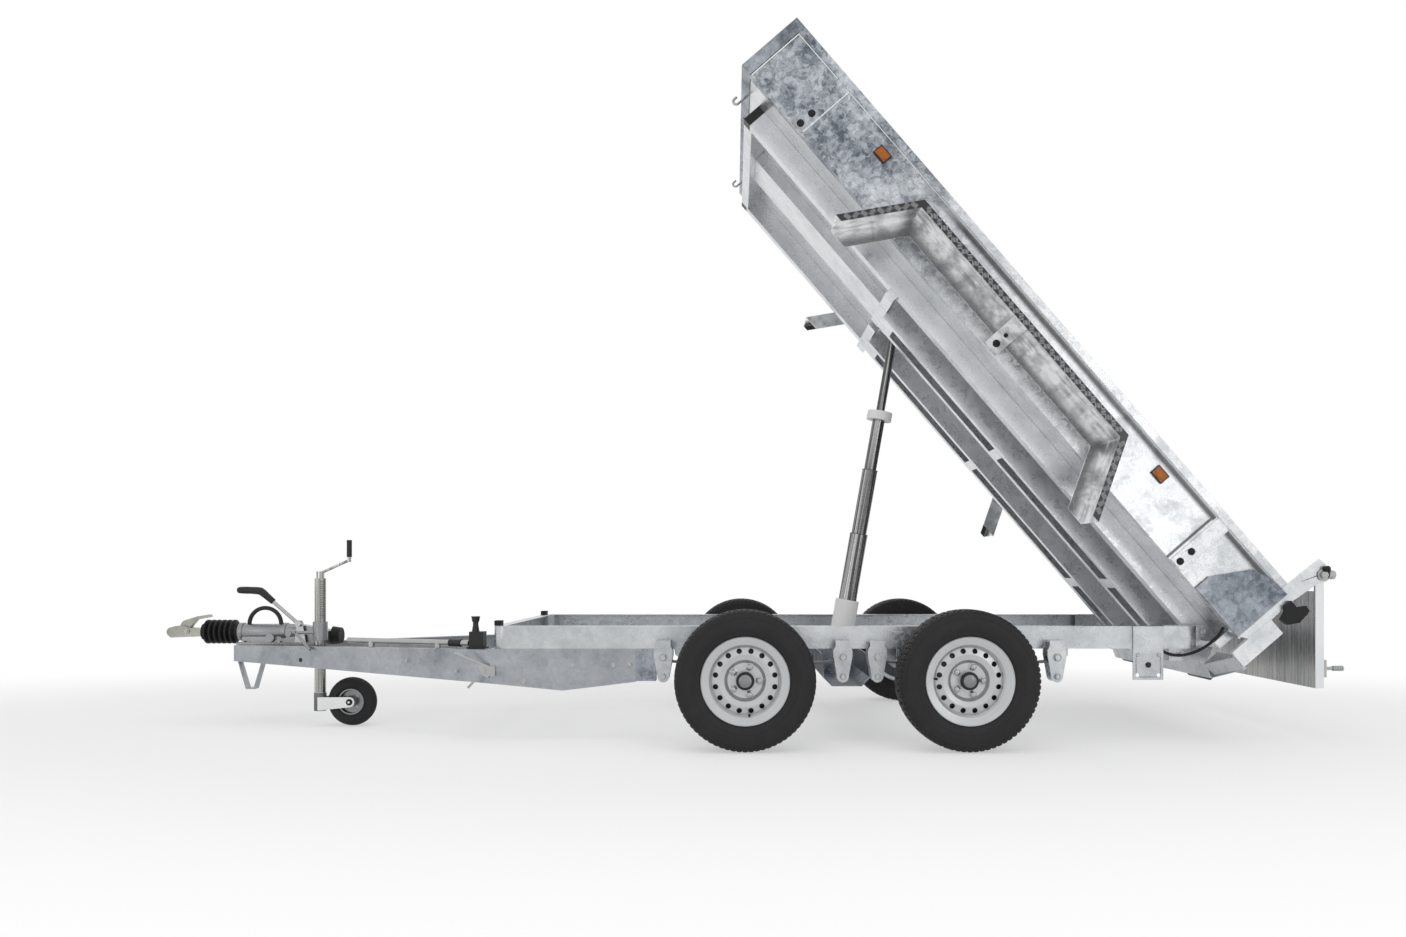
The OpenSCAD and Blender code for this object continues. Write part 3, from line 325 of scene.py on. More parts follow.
# plain metals and paints, a little streaked, with fine scratches
# tone, roughness, share of metal, scale of the grain, relief of the scratches, streaking
plainMetals = {
    "cast": ((0.31, 0.315, 0.325), 0.27, 0.85, 420, 0.35, 0.16),
    "zinc": ((0.42, 0.415, 0.372), 0.24, 0.9, 120, 0.10, 0.50),
    "bright_steel": ((0.44, 0.45, 0.45), 0.20, 0.95, 240, 0.08, 0.16),
    "spring_steel": ((0.12, 0.125, 0.13), 0.46, 0.6, 220, 0.15, 0.10),
    "wheel_silver": ((0.53, 0.54, 0.55), 0.31, 0.75, 900, 0.05, 0.07),
    "barrel_paint": ((0.87, 0.875, 0.86), 0.36, 0.0, 300, 0.06, 0.05),
    "white_plastic": ((0.82, 0.82, 0.81), 0.42, 0.0, 500, 0.06, 0.04),
    "tread_plate": ((0.47, 0.478, 0.486), 0.25, 0.92, 180, 0.08, 0.14),
    "rimSteel": ((0.26, 0.27, 0.275), 0.22, 0.95, 240, 0.08, 0.30),
    # brightZinc: the jockey fork's own zinc, and the painted highlight on the fold beads
    "brightZinc": ((0.78, 0.785, 0.79), 0.24, 0.85, 300, 0.05, 0.06),
    "forkHead": ((0.17, 0.18, 0.18), 0.40, 0.75, 260, 0.12, 0.12),
}


def metalFinish(name, values):
    base, rough, metal, grainScale, relief, streaking = values
    made, shader, at = startFinish(name)
    grain = noise(at, grainScale, 3)
    stain = ramp(noise(at, 11, 5, 0.6), 0.35, 0.72)
    tone = (grain - 0.5) * streaking + stain * streaking
    darker = tuple(c * 0.55 for c in base)
    feed(shader, "Base Color", blend(tone * 1.6, base, darker))
    feed(shader, "Roughness", rough + (grain - 0.5) * 0.16 + stain * 0.08)
    feed(shader, "Metallic", metal)
    feed(shader, "Normal", bump(grain, relief, 0.001))
    return made


# ground and polished rods: mirror-like, with dark streaks along the rod painted into the colour as
# reflections of dark surroundings, and faint rings round it tone, tone of the painted dark reflection
# streaks, roughness, lean of the rod
chromeFinishes = {
    "chrome": ((0.60, 0.60, 0.60), (0.034, 0.032, 0.032), 0.13, cylinderLean),
    "postChrome": ((0.74, 0.74, 0.72), (0.17, 0.17, 0.155), 0.16, 0.0),
}


def chromeFinish(name, values):
    base, dull, rough, lean = values
    made, shader, at = startFinish(name)
    upright = stretched(at, (1, 1, 1), (0, -lean, 0))  # turned alone: a Mapping scales before it turns
    rings = noise(stretched(upright, (1, 1, 260)), 1.0, 2)
    # dark streaks along the rod: painted reflection
    paintedDarkStreaks = ramp(noise(stretched(upright, (75, 75, 0.7)), 1.0, 3, 0.6), 0.34, 0.54)
    feed(shader, "Base Color", blend(paintedDarkStreaks * 0.8 + rings * 0.2, base, dull))
    feed(shader, "Roughness", rough + rings * 0.06 + paintedDarkStreaks * 0.05)
    feed(shader, "Metallic", 1.0)
    return made


# moulded blacks, mottled by handling and dust: tone, dust, roughness, scale of the grain, gloss
blackMouldings = {
    "rubber": ((0.008, 0.008, 0.009), (0.032, 0.032, 0.032), 0.55, 500, 0.3),
    "black_plastic": ((0.010, 0.010, 0.011), (0.040, 0.040, 0.042), 0.38, 800, 0.4),
    "tyre": ((0.018, 0.0175, 0.019), (0.044, 0.043, 0.044), 0.55, 380, 0.25),
}


def mouldedFinish(name, values):
    base, dust, rough, grainScale, gloss = values
    made, shader, at = startFinish(name)
    grain = noise(at, grainScale, 2)
    dusty = ramp(noise(at, 13, 5, 0.62), 0.45, 0.8)
    feed(shader, "Base Color", blend(dusty * 0.35 + (grain - 0.5) * 0.12, base, dust))
    feed(shader, "Roughness", rough + dusty * 0.12 + (grain - 0.5) * 0.14)
    feed(shader, "Specular IOR Level", gloss)
    feed(shader, "Normal", bump(grain, 0.12, 0.0006))
    return made


# lamp lenses: lightly coated colour with moulded prisms
lensColours = {
    "red_lens": {"tone": (0.40, 0.010, 0.010), "deep": (0.15, 0.003, 0.005)},
    "amber_lens": {"tone": (0.52, 0.150, 0.003), "deep": (0.26, 0.060, 0.001)},
}


def lensFinish(name, c):
    made, shader, at = startFinish(name)
    grid = {"Vector": at, "Scale": 160.0, "Randomness": 0.0}
    prism = at.node("ShaderNodeTexVoronoi", {"distance": "CHEBYCHEV"}, grid)
    feed(shader, "Base Color", blend(ramp(prism, 0.1, 0.55), c["tone"], c["deep"]))
    feed(shader, "Roughness", 0.16)
    feed(shader, "Coat Weight", 0.15)
    feed(shader, "Specular IOR Level", 0.3)
    feed(shader, "Normal", bump(prism, 0.2, 0.001))
    return made


finishes = {}
for makeFinish, rows in (
        (zincFinish, zincFinishes), (metalFinish, plainMetals), (mouldedFinish, blackMouldings),
        (lensFinish, lensColours), (chromeFinish, chromeFinishes),
        (gateFinish, {"gateSheet": gateSheet}), (fenderFinish, {"fenderSheet": fenderSheet})):
    for finishName, values in rows.items():
        finishes[finishName] = makeFinish(finishName, values)
print("finishes made,", len(finishes))

# nodes whose look differs from their slot's usual one
ownLooks = {
    "sideSheet": ["bed_side_left", "bed_side_right"],
    "postSheet": ["rear_posts"],
    "gateSheet": ["tailgate"],
    "fenderSheet": ["fender_left", "fender_right"],
    # the drawbar takes the darker zinc: painted dark reflection
    "drawbarZincPaintedDark": ["drawbar_left", "drawbar_right", "drawbar_ties"],
    # parts under the bed take the paler zinc: painted light
    "underZincPaintedLight": ["bed_floor", "bed_tubes", "bed_beams", "bed_crossmembers"],
    "postChrome": ["jockey_post"],
    "rimSteel": ["jockey_rim"],
    "brightZinc": ["jockey_fork"],
}


def dressNodes(looks):
    lookOf = {node: look for look, nodes in looks.items() for node in nodes}
    for row in frame["record"]["subparts"]:
        carried = frame["nodes"][row["node"]].data.materials
        carried.clear()
        carried.append(finishes[lookOf.get(row["node"], row["material_slot"])])


dressNodes(ownLooks)


# folded and cut edges of the carried-over parts are broken by a small radius
edgeBreak = {
    "radius": 0.0016, "angle": 40, "segments": 2, "weld": 0.00002,
    "nodes": ["chassis_frame", "drawbar_left", "drawbar_right", "drawbar_ties", "drawbar_spacers",
              "cylinder_crossbeam", "rear_plates", "rail_buffers", "spring_hangers", "overrun_housing",
              "coupling_head", "handbrake_lever", "hand_pump", "bed_latches", "jockey_fork",
              "bed_side_left", "bed_side_right", "bed_front", "bed_tubes", "bed_plugs", "bed_beams",
              "bed_crossmembers", "rear_posts", "lamp_board", "outline_lamps", "tail_lamps", "tailgate",
              "tailgate_latch", "fender_left", "fender_right"],
}


def breakEdges(e):
    for name in e["nodes"]:
        carried = frame["nodes"][name]
        weld = carried.modifiers.new("weld", "WELD")
        weld.merge_threshold = e["weld"]
        edge = carried.modifiers.new("edge", "BEVEL")
        edge.width = e["radius"]
        edge.segments = e["segments"]
        edge.limit_method = "ANGLE"
        edge.angle_limit = math.radians(e["angle"])
        edge.use_clamp_overlap = True


breakEdges(edgeBreak)
print("carried-over parts dressed")


def makePiece(name, shape, finish, body, place=None, sharp=35, look=None):
    mesh = bpy.data.meshes.new(name)
    bmesh.ops.recalc_face_normals(shape, faces=shape.faces)
    shape.to_mesh(mesh)
    shape.free()
    if place is not None:
        mesh.transform(place)
    for face in mesh.polygons:
        face.use_smooth = True
    mesh.set_sharp_from_angle(angle=math.radians(sharp))
    mesh.materials.append(finishes[look or finish])
    piece = bpy.data.objects.new(name, mesh)
    scene.collection.objects.link(piece)
    if body:
        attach(piece, body)
    return piece


def turned(at, axis):
    # local Z along the axis, origin at the given place
    turn = Vector((0, 0, 1)).rotation_difference(Vector(axis).normalized())
    return Matrix.Translation(at) @ turn.to_matrix().to_4x4()


def circle(steps):
    return [2 * math.pi * i / steps for i in range(steps)]


def addLathe(shape, place, outline, steps=24, closed=False):
    # (radius, height) points turned round the place's own Z
    rings = []
    for radius, height in outline:
        angles = circle(steps) if radius > 1e-6 else [0.0]
        points = [Vector((radius * math.cos(a), radius * math.sin(a), height)) for a in angles]
        rings.append([shape.verts.new(place @ p) for p in points])
    pairs = list(zip(rings, rings[1:]))
    if closed:
        pairs.append((rings[-1], rings[0]))
    for low, high in pairs:
        for i in range(steps):
            j = (i + 1) % steps
            corners = (low[i % len(low)], low[j % len(low)], high[j % len(high)], high[i % len(high)])
            face = list(dict.fromkeys(corners))
            if len(face) > 2:
                shape.faces.new(face)


def addBox(shape, low, high, place=None, trim=0.001):
    # block with chamfered edges, made apart, so that what follows it keeps its order each run
    block = bmesh.new()
    bmesh.ops.create_cube(block, size=1.0)
    size = Vector(high) - Vector(low)
    middle = (Vector(high) + Vector(low)) / 2
    for v in block.verts:
        v.co = middle + Vector((v.co.x * size.x, v.co.y * size.y, v.co.z * size.z))
    bmesh.ops.bevel(block, geom=block.edges[:], offset=trim, segments=2, affect="EDGES", profile=0.5)
    if place is not None:
        block.transform(place)
    mesh = bpy.data.meshes.new("block")
    block.to_mesh(mesh)
    block.free()
    shape.from_mesh(mesh)
    bpy.data.meshes.remove(mesh)


def addTube(shape, points, radius, steps=10):
    # round bar along points, its ends closed; a list of radii tapers it
    points = [Vector(p) for p in points]
    radii = radius if isinstance(radius, list) else [radius] * len(points)
    rings = []
    side = None
    for i, p in enumerate(points):
        run = (points[min(i + 1, len(points) - 1)] - points[max(i - 1, 0)]).normalized()
        if side is None:
            side = run.orthogonal().normalized()
        side = (side - run * side.dot(run)).normalized()
        other = run.cross(side)
        spokes = [side * math.cos(a) + other * math.sin(a) for a in circle(steps)]
        rings.append([shape.verts.new(p + spoke * radii[i]) for spoke in spokes])
    for first, second in zip(rings, rings[1:]):
        for k in range(steps):
            m = (k + 1) % steps
            shape.faces.new((first[k], first[m], second[m], second[k]))
    shape.faces.new(list(reversed(rings[0])))
    shape.faces.new(rings[-1])


def addBolt(shape, at, axis, shank):
    # hexagon head on a washer, sized by the shank's radius
    place = turned(at, axis)
    seat = -0.0006
    wide, thick, flat, tall = shank * 2.0, shank * 0.32, shank * 1.68, shank * 1.5
    washer = [(0, seat), (wide, seat), (wide, thick * 0.8), (shank * 1.9, thick), (0, thick)]
    head = [(0, thick), (flat, thick), (flat, shank * 1.25), (shank * 1.4, tall), (0, tall)]
    addLathe(shape, place, washer, 20)
    addLathe(shape, place, head, 6)


def addNut(shape, at, axis, shank):
    # hexagon nut and washer on the end of a bolt that stands out of it
    place = turned(at, axis)
    bore, wide, thick, flat, tall = shank * 0.8, shank * 2.1, shank * 0.25, shank * 1.72, shank * 1.15
    washer = [(bore, 0), (wide, 0), (wide, thick), (bore, thick)]
    nut = [(bore, thick), (flat, thick), (flat, shank * 0.95), (shank * 1.45, tall), (bore, tall)]
    addLathe(shape, place, washer, 20, True)
    addLathe(shape, place, nut, 6, True)


# loom from under the left rail to the bed, hanging past the hinge
rearLoom = {
    "points": [(2.100, -0.680, 0.4335), (2.125, -0.683, 0.415), (2.160, -0.687, 0.404),
               (2.200, -0.694, 0.404), (2.245, -0.708, 0.418), (2.285, -0.727, 0.442),
               (2.317, -0.748, 0.474), (2.337, -0.770, 0.506), (2.346, -0.787, 0.538)],
    "diameter": 0.014, "perSpan": 4, "turnFrom": (2.245, -0.708, 0.418), "turnTo": (2.337, -0.770, 0.506),
}


def smoothRoute(points, perSpan):
    points = [Vector(p) for p in points]
    padded = [points[0] * 2 - points[1]] + points + [points[-1] * 2 - points[-2]]
    route = []
    for a, b, c, d in zip(padded, padded[1:], padded[2:], padded[3:]):
        for i in range(perSpan):
            t = i / perSpan
            run = 2 * b + (c - a) * t
            bend = (2 * a - 5 * b + 4 * c - d) * t * t
            turn = (3 * b - a - 3 * c + d) * t ** 3
            route.append(0.5 * (run + bend + turn))
    return route + [points[-1]]


def makeLoom(l):
    route = smoothRoute(l["points"], l["perSpan"])
    shape = bmesh.new()
    addTube(shape, route, l["diameter"] / 2, 14)
    loom = makePiece("rearLoom", shape, "rubber", None, None, 60)
    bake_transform(loom)
    length = sum((b - a).length for a, b in zip(route, route[1:]))
    print("loom made, %.3f m" % length)


makeLoom(rearLoom)


# road tyres: ribs, grooves and cross cuts modelled on the tread, raised rings on the walls
# half an outline, as kind and (across, below the tread): the kind says which cross cuts reach the points
roadTyre = {
    "pitches": 72, "steps": 4, "cut": 0.0055, "edgeShare": 0.35, "uncut": 0.012,
    "half": [
        ("rib", [(0.0, 0.0), (0.0095, 0.0)]),
        ("floor", [(0.0105, 0.007), (0.0175, 0.007)]),
        ("rib", [(0.0185, 0.0002), (0.031, 0.0004), (0.0435, 0.0008)]),
        ("floor", [(0.0445, 0.007), (0.0515, 0.007)]),
        ("shoulder", [(0.0525, 0.0012), (0.066, 0.002), (0.076, 0.004), (0.0845, 0.009), (0.0895, 0.016)]),
        ("edge", [(0.0925, 0.024)]),
        ("wall", [(0.0938, 0.030), (0.0955, 0.031), (0.0960, 0.036), (0.0950, 0.038), (0.0970, 0.056),
                  (0.0968, 0.072), (0.0950, 0.080), (0.0962, 0.082), (0.0952, 0.087), (0.0925, 0.090),
                  (0.0895, 0.100), (0.0840, 0.111), (0.0785, 0.1155), (0.0700, 0.1175)]),
    ],
}


def cutDepth(t, across, kind, step):
    lag = (1 if kind == "rib" else 0) + (2 if across < 0 else 0)
    if (step + lag) % t["steps"]:
        return 0.0
    if kind == "rib":
        alternate = (step // t["steps"]) % 2 == 0
        return t["cut"] if alternate and abs(across) > t["uncut"] else 0.0
    return {"shoulder": t["cut"], "edge": t["cut"] * t["edgeShare"]}.get(kind, 0.0)


def tyreShape(t):
    half = [(across, wheelAt["height"] - drop, kind)
            for kind, points in t["half"] for across, drop in points]
    outline = [(-across, radius, kind) for across, radius, kind in reversed(half[1:])] + half
    turns = t["pitches"] * t["steps"]
    shape = bmesh.new()
    rings = []
    for i, angle in enumerate(circle(turns)):
        ring = []
        for across, radius, kind in outline:
            radius -= cutDepth(t, across, kind, i)
            ring.append(shape.verts.new((radius * math.sin(angle), across, radius * math.cos(angle))))
        rings.append(ring)
    for first, second in zip(rings, rings[1:] + rings[:1]):
        for j in range(len(outline)):
            k = (j + 1) % len(outline)
            shape.faces.new((first[j], second[j], second[k], first[k]))
    return shape


def wheelCorners():
    # short name, hub and outward side of each road wheel
    for axle, x in wheelAt["axles"].items():
        for hand, side in (("l", -1), ("r", 1)):
            yield axle + hand, Vector((x, side * wheelAt["trackHalf"], wheelAt["height"])), side


for corner, hub, side in wheelCorners():
    tyre = makePiece("roadTyre_" + corner, tyreShape(roadTyre), "tyre", "wheel_" + corner,
                     Matrix.Translation(hub), 30)
    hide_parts("tyre_" + corner)
print("road tyres made")


# raised bars of the tread plate, in groups of five that alternate in direction
# a bar's faces by corner: six round its foot, then two on its ridge
treadBars = {
    "cell": 0.034, "bar": 0.027, "width": 0.0031, "rise": 0.0012, "sink": 0.0002, "count": 5, "gap": 0.0062,
    "flank": 0.55, "endTrim": 0.03,
    "faces": [(1, 2, 7, 6), (4, 5, 6, 7), (0, 1, 6), (5, 0, 6), (2, 3, 7), (3, 4, 7), (5, 4, 3, 2, 1, 0)],
}
fenderForm = {
    "front": (-2.546, -0.135), "frontTop": (-2.342, 0.200),
    "rearTop": (-0.989, 0.200), "rear": (-0.788, -0.146),
    "inside": 0.815, "outside": 1.046, "flange": 0.032,
}


def addBar(shape, centre, along, across, up, b):
    half, wide = along * (b["bar"] / 2), across * (b["width"] / 2)
    flank = half * b["flank"]
    foot = [centre - half, centre - flank - wide, centre + flank - wide,
            centre + half, centre + flank + wide, centre - flank + wide]
    ridge = [centre + half * s + up * b["rise"] for s in (-0.5, 0.5)]
    corners = [shape.verts.new(p) for p in foot + ridge]
    for face in b["faces"]:
        shape.faces.new([corners[i] for i in face])


def coverWithBars(shape, corner, alongEdge, acrossEdge, up, b):
    long, wide = alongEdge.length, acrossEdge.length
    u, v = alongEdge.normalized(), acrossEdge.normalized()
    columns, rows = int(long / b["cell"]), max(1, int(wide / b["cell"]))
    for i in range(columns):
        for j in range(rows):
            centre = corner + u * (long * (i + 0.5) / columns) + v * (wide * (j + 0.5) / rows)
            turn = 1 if (i + j) % 2 else -1
            along = (u + v * turn).normalized()
            across = (v - u * turn).normalized()
            for k in range(b["count"]):
                offset = b["gap"] * (k - (b["count"] - 1) / 2)
                addBar(shape, centre + across * offset - up * b["sink"], along, across, up, b)


def fenderBars(side, f, b):
    shape = bmesh.new()
    route = [Vector((f[k][0], 0, f[k][1])) for k in ("front", "frontTop", "rearTop", "rear")]
    inside, outside = Vector((0, f["inside"], 0)), Vector((0, f["outside"], 0))
    for first, second in zip(route, route[1:]):
        run = second - first
        up = Vector((-run.z, 0, run.x)).normalized()
        coverWithBars(shape, first + inside, run, outside - inside, up, b)
        trim = run.normalized() * b["endTrim"]
        lip = -up * f["flange"]
        coverWithBars(shape, first + trim + outside, run - trim * 2, lip, Vector((0, 1, 0)), b)
    shape.transform(Matrix.Diagonal((1, side, 1, 1)))
    return shape


for hand, side in (("left", -1), ("right", 1)):
    barShape = fenderBars(side, fenderForm, treadBars)
    makePiece("treadBars_" + hand, barShape, "tread_plate", "bed", bedPlace, 20)
print("tread plate bars made")


# drawbar and chassis: bolts by (along, height) or (along, across), a plug, the sleeve on the pump's lever
drawbarBolts = {
    "wings": [(-0.879, 0.281), (-0.650, 0.357), (-0.4595, 0.357), (-0.385, 0.362)], "wingFace": 0.700,
    "beams": [(-1.483, 0.364), (-1.213, 0.324)], "front": (-2.533, 0.062), "slope": 0.42647,
    "shank": 0.0062, "plug": (-2.1075, 0.344), "plugRadius": 0.011,
    "housing": [(-2.49, 0.046), (-2.30, 0.046), (-2.07, 0.046)], "deck": 0.421, "housingShank": 0.0045,
    "foot": [(-2.513, 0.014), (-2.415, 0.014)], "footUnder": 0.331, "footShank": 0.0048,
    "coupling": [(-2.795, 0.479)], "couplingFace": 0.040, "couplingShank": 0.006,
    "plates": [(1.985, 0.407), (2.083, 0.407)], "plateShank": 0.0052,
    "plateCentre": [(2.034, 0.360)], "centreShank": 0.0068, "plateFace": 0.708,
    "sleeve": ((-1.200, -0.582, 0.4535), (-1.262, -0.5552, 0.4531)), "sleeveRadius": 0.0185,
}


def beamPlace(d, x, z, side):
    across = d["front"][1] + d["slope"] * (x - d["front"][0])
    return (x, side * across, z), (-d["slope"], side, 0)


def boltSide(shape, spots, face, side, shank):
    for x, z in spots:
        addBolt(shape, (x, side * face, z), (0, side, 0), shank)


def drawbarShapes(d):
    bolts, plugs = bmesh.new(), bmesh.new()
    r = d["plugRadius"]
    plug = [(0, -0.001), (r, -0.001), (r, 0.0015), (r * 0.8, 0.003), (r * 0.45, 0.0022), (0, 0.002)]
    for side in (-1, 1):
        boltSide(bolts, d["wings"], d["wingFace"], side, d["shank"])
        for x, z in d["beams"]:
            addBolt(bolts, *beamPlace(d, x, z, side), d["shank"])
        addLathe(plugs, turned(*beamPlace(d, *d["plug"], side)), plug)
        for x, y in d["housing"]:
            addBolt(bolts, (x, side * y, d["deck"]), (0, 0, 1), d["housingShank"])
        for x, y in d["foot"]:
            addBolt(bolts, (x, side * y, d["footUnder"]), (0, 0, -1), d["footShank"])
        boltSide(bolts, d["coupling"], d["couplingFace"], side, d["couplingShank"])
        boltSide(bolts, d["plates"], d["plateFace"], side, d["plateShank"])
        boltSide(plugs, d["plateCentre"], d["plateFace"], side, d["centreShank"])
    addTube(plugs, d["sleeve"], d["sleeveRadius"], 24)
    return bolts, plugs


boltShape, plugShape = drawbarShapes(drawbarBolts)
makePiece("chassisBolts", boltShape, "bright_steel", "chassis")
makePiece("chassisPlugs", plugShape, "black_plastic", "chassis")

# moulded grip over the handbrake's bent end, as (along, height, radius)
brakeGrip = {
    "across": -0.062,
    "outline": [(-2.3240, 0.6353, 0.0130), (-2.3262, 0.6372, 0.0160), (-2.3450, 0.6535, 0.0168),
                (-2.3640, 0.6702, 0.0182), (-2.3785, 0.6828, 0.0196), (-2.3920, 0.6915, 0.0203),
                (-2.4100, 0.6945, 0.0198), (-2.4400, 0.6960, 0.0188), (-2.4650, 0.6968, 0.0190),
                (-2.4900, 0.6972, 0.0184), (-2.5060, 0.6972, 0.0166), (-2.5120, 0.6972, 0.0120),
                (-2.5145, 0.6972, 0.0050)],
}


def gripShape(g):
    shape = bmesh.new()
    route = [(x, g["across"], z) for x, z, r in g["outline"]]
    addTube(shape, route, [r for x, z, r in g["outline"]], 24)
    return shape


makePiece("brakeGrip", gripShape(brakeGrip), "black_plastic", "chassis", None, 50)

# nuts of the spring hangers, U-bolts and clamp plates over the axles
springGear = {
    "eyeOffset": 0.039, "halfSpan": 0.413, "cheek": 0.778, "eyeHeight": 0.400, "eyeShank": 0.0098,
    "keeperHeight": 0.312, "keeperShank": 0.0080, "springMiddle": 0.740,
    "boltApart": 0.042, "legApart": 0.0345, "rod": 0.006, "top": 0.383, "low": 0.252,
    "bend": 0.012, "bendAngles": (30, 60, 90),
    "plateLow": 0.269, "plateTop": 0.278, "plateHalf": (0.058, 0.047),
}


def uBoltRoute(s, x, y):
    # up one leg, round the bend, and the same mirrored down the other leg
    legY, bend = y - s["legApart"], s["bend"]
    leg = [(x, legY, s["low"]), (x, legY, s["top"] - bend)]
    for a in map(math.radians, s["bendAngles"]):
        leg.append((x, legY + bend * (1 - math.cos(a)), s["top"] - bend * (1 - math.sin(a))))
    return leg + [(p[0], 2 * y - p[1], p[2]) for p in reversed(leg)]


def springGearShape(s):
    shape = bmesh.new()
    long, wide = s["plateHalf"]
    for axleX in wheelAt["axles"].values():
        for side in (-1, 1):
            for end in (-1, 1):
                x = axleX + s["eyeOffset"] + end * s["halfSpan"]
                addNut(shape, (x, side * s["cheek"], s["eyeHeight"]), (0, side, 0), s["eyeShank"])
                addNut(shape, (x, side * s["cheek"], s["keeperHeight"]), (0, side, 0), s["keeperShank"])
            y = side * s["springMiddle"]
            for x in (axleX - s["boltApart"], axleX + s["boltApart"]):
                addTube(shape, uBoltRoute(s, x, y), s["rod"], 12)
                for leg in (-1, 1):
                    addNut(shape, (x, y + leg * s["legApart"], s["plateLow"]), (0, 0, -1), s["rod"])
            addBox(shape, (axleX - long, y - wide, s["plateLow"]), (axleX + long, y + wide, s["plateTop"]))
    return shape


makePiece("springGear", springGearShape(springGear), "bright_steel", "chassis")
print("chassis fasteners made")

# road wheels: nuts with collars, black hub ring round a plain domed cap, valve, drum behind the vents
wheelDetail = {
    "nuts": 5, "nutCircle": 0.064, "nutRadius": 0.0135,
    "valves": {"f": 277, "r": 176}, "valveCircle": 0.156, "valveOut": 0.046, "valveLean": 0.25,
    "ring": [(0.0362, 0.052), (0.0402, 0.052), (0.0406, 0.061), (0.0392, 0.0665), (0.0350, 0.0715),
             (0.0300, 0.0735), (0.0286, 0.0700)],
    "cap": [(0.0292, 0.0698), (0.0292, 0.0728), (0.0275, 0.0745), (0.0225, 0.0765), (0.0130, 0.0785),
            (0.0, 0.0792)],
    "valve": [(0.0, -0.008), (0.0082, -0.008), (0.0082, 0.002), (0.0056, 0.006), (0.0046, 0.022),
              (0.0056, 0.0225), (0.0056, 0.033), (0.0045, 0.0345), (0.0, 0.0345)],
    "drum": [(0.1132, 0.004), (0.118, 0.016), (0.145, 0.010), (0.1705, -0.002), (0.1705, -0.010),
             (0.1132, -0.010)],
    "slots": {"hubRing_": "black_plastic", "hubCap_": "wheel_silver", "wheelNuts_": "bright_steel",
              "valve_": "rubber", "drumShell_": "spring_steel"},
    "looks": {"hubCap_": "rimSteel"},
}


def addWheelNut(shape, place, r):
    collar = [(r * 0.9, 0.0318), (r * 1.35, 0.0318), (r * 1.3, 0.0345), (r * 0.9, 0.037)]
    flats = [(r, 0.034), (r, 0.0495), (r * 0.86, 0.0515)]
    dome = [(r * 0.88, 0.0505), (r * 0.80, 0.0535), (r * 0.5, 0.0562), (0.0, 0.0570)]
    addLathe(shape, place, collar, 20, True)
    addLathe(shape, place, flats, 6)
    addLathe(shape, place, dome, 16)


def wheelShapes(w, hub, side, valveAngle):
    axis = Vector((0, side, 0))
    place = turned(hub, axis)
    made = {label: bmesh.new() for label in w["slots"]}
    addLathe(made["drumShell_"], place, w["drum"], 64, True)
    addLathe(made["hubRing_"], place, w["ring"], 48, True)
    addLathe(made["hubCap_"], place, w["cap"], 48)
    for i in range(w["nuts"]):
        a = math.radians(i * 360 / w["nuts"])
        at = hub + Vector((w["nutCircle"] * math.cos(a), 0, -w["nutCircle"] * math.sin(a)))
        addWheelNut(made["wheelNuts_"], turned(at, axis), w["nutRadius"])
    a = math.radians(valveAngle)
    out = Vector((math.cos(a), 0, math.sin(a)))
    foot = hub + out * w["valveCircle"] + axis * w["valveOut"]
    addLathe(made["valve_"], turned(foot, axis - out * w["valveLean"]), w["valve"], 16)
    return made


for corner, hub, side in wheelCorners():
    for label, shape in wheelShapes(wheelDetail, hub, side, wheelDetail["valves"][corner[0]]).items():
        makePiece(label + corner, shape, wheelDetail["slots"][label], "wheel_" + corner,
                  look=wheelDetail["looks"].get(label))
print("wheel details made")

# jockey wheel: axle nuts, dark collar of the fork, marks up the post, rim bolts
jockeyDetail = {
    "axle": (-1.869, -0.165, 0.125), "cheek": 0.052, "axleRadius": 0.008,
    "rimBolts": 4, "rimCircle": 0.036, "rimFace": 0.0082, "rimShank": 0.0036,
    "post": (-2.037, -0.165), "postRadius": 0.028,
    "collarLow": 0.0765, "collarTop": 0.1705, "collarRadius": 0.0312, "collarBore": 0.0295,
    "markRows": 17, "markFrom": 0.556, "markTo": 0.742, "markTurns": (-62, -42, -22), "markTrim": 0.0004,
    "markWide": (0.0030, 0.0045, 0.0045), "markTall": 0.0022, "markSink": 0.0006, "markRise": 0.0009,
}


def collarOutline(j):
    low, top, r, bore = j["collarLow"], j["collarTop"], j["collarRadius"], j["collarBore"]
    broken = r - 0.0012
    return [(bore, low), (broken, low), (r, low + 0.002), (r, top - 0.002), (broken, top), (bore, top)]


def jockeyShapes(j):
    nuts, collar, marks, rimBolts = (bmesh.new() for i in range(4))
    x, y, z = j["axle"]
    for side in (-1, 1):
        addNut(nuts, (x, y + side * j["cheek"], z), (0, side, 0), j["axleRadius"])
        for i in range(j["rimBolts"]):
            a = math.pi * (2 * i + 1) / j["rimBolts"]
            right, up = j["rimCircle"] * math.cos(a), j["rimCircle"] * math.sin(a)
            addBolt(rimBolts, (x + right, y + side * j["rimFace"], z + up), (0, side, 0), j["rimShank"])
    addLathe(collar, Matrix.Translation((*j["post"], 0)), collarOutline(j), 48, True)
    inner, outer = j["postRadius"] - j["markSink"], j["postRadius"] + j["markRise"]
    for i in range(j["markRows"]):
        height = j["markFrom"] + (j["markTo"] - j["markFrom"]) * i / (j["markRows"] - 1)
        for k, turn in enumerate(j["markTurns"]):
            wide, tall = j["markWide"][(i + k) % 3], j["markTall"]
            place = Matrix.Translation((*j["post"], height)) @ Matrix.Rotation(math.radians(turn), 4, "Z")
            addBox(marks, (inner, -wide, -tall), (outer, wide, tall), place, j["markTrim"])
    return nuts, collar, marks, rimBolts


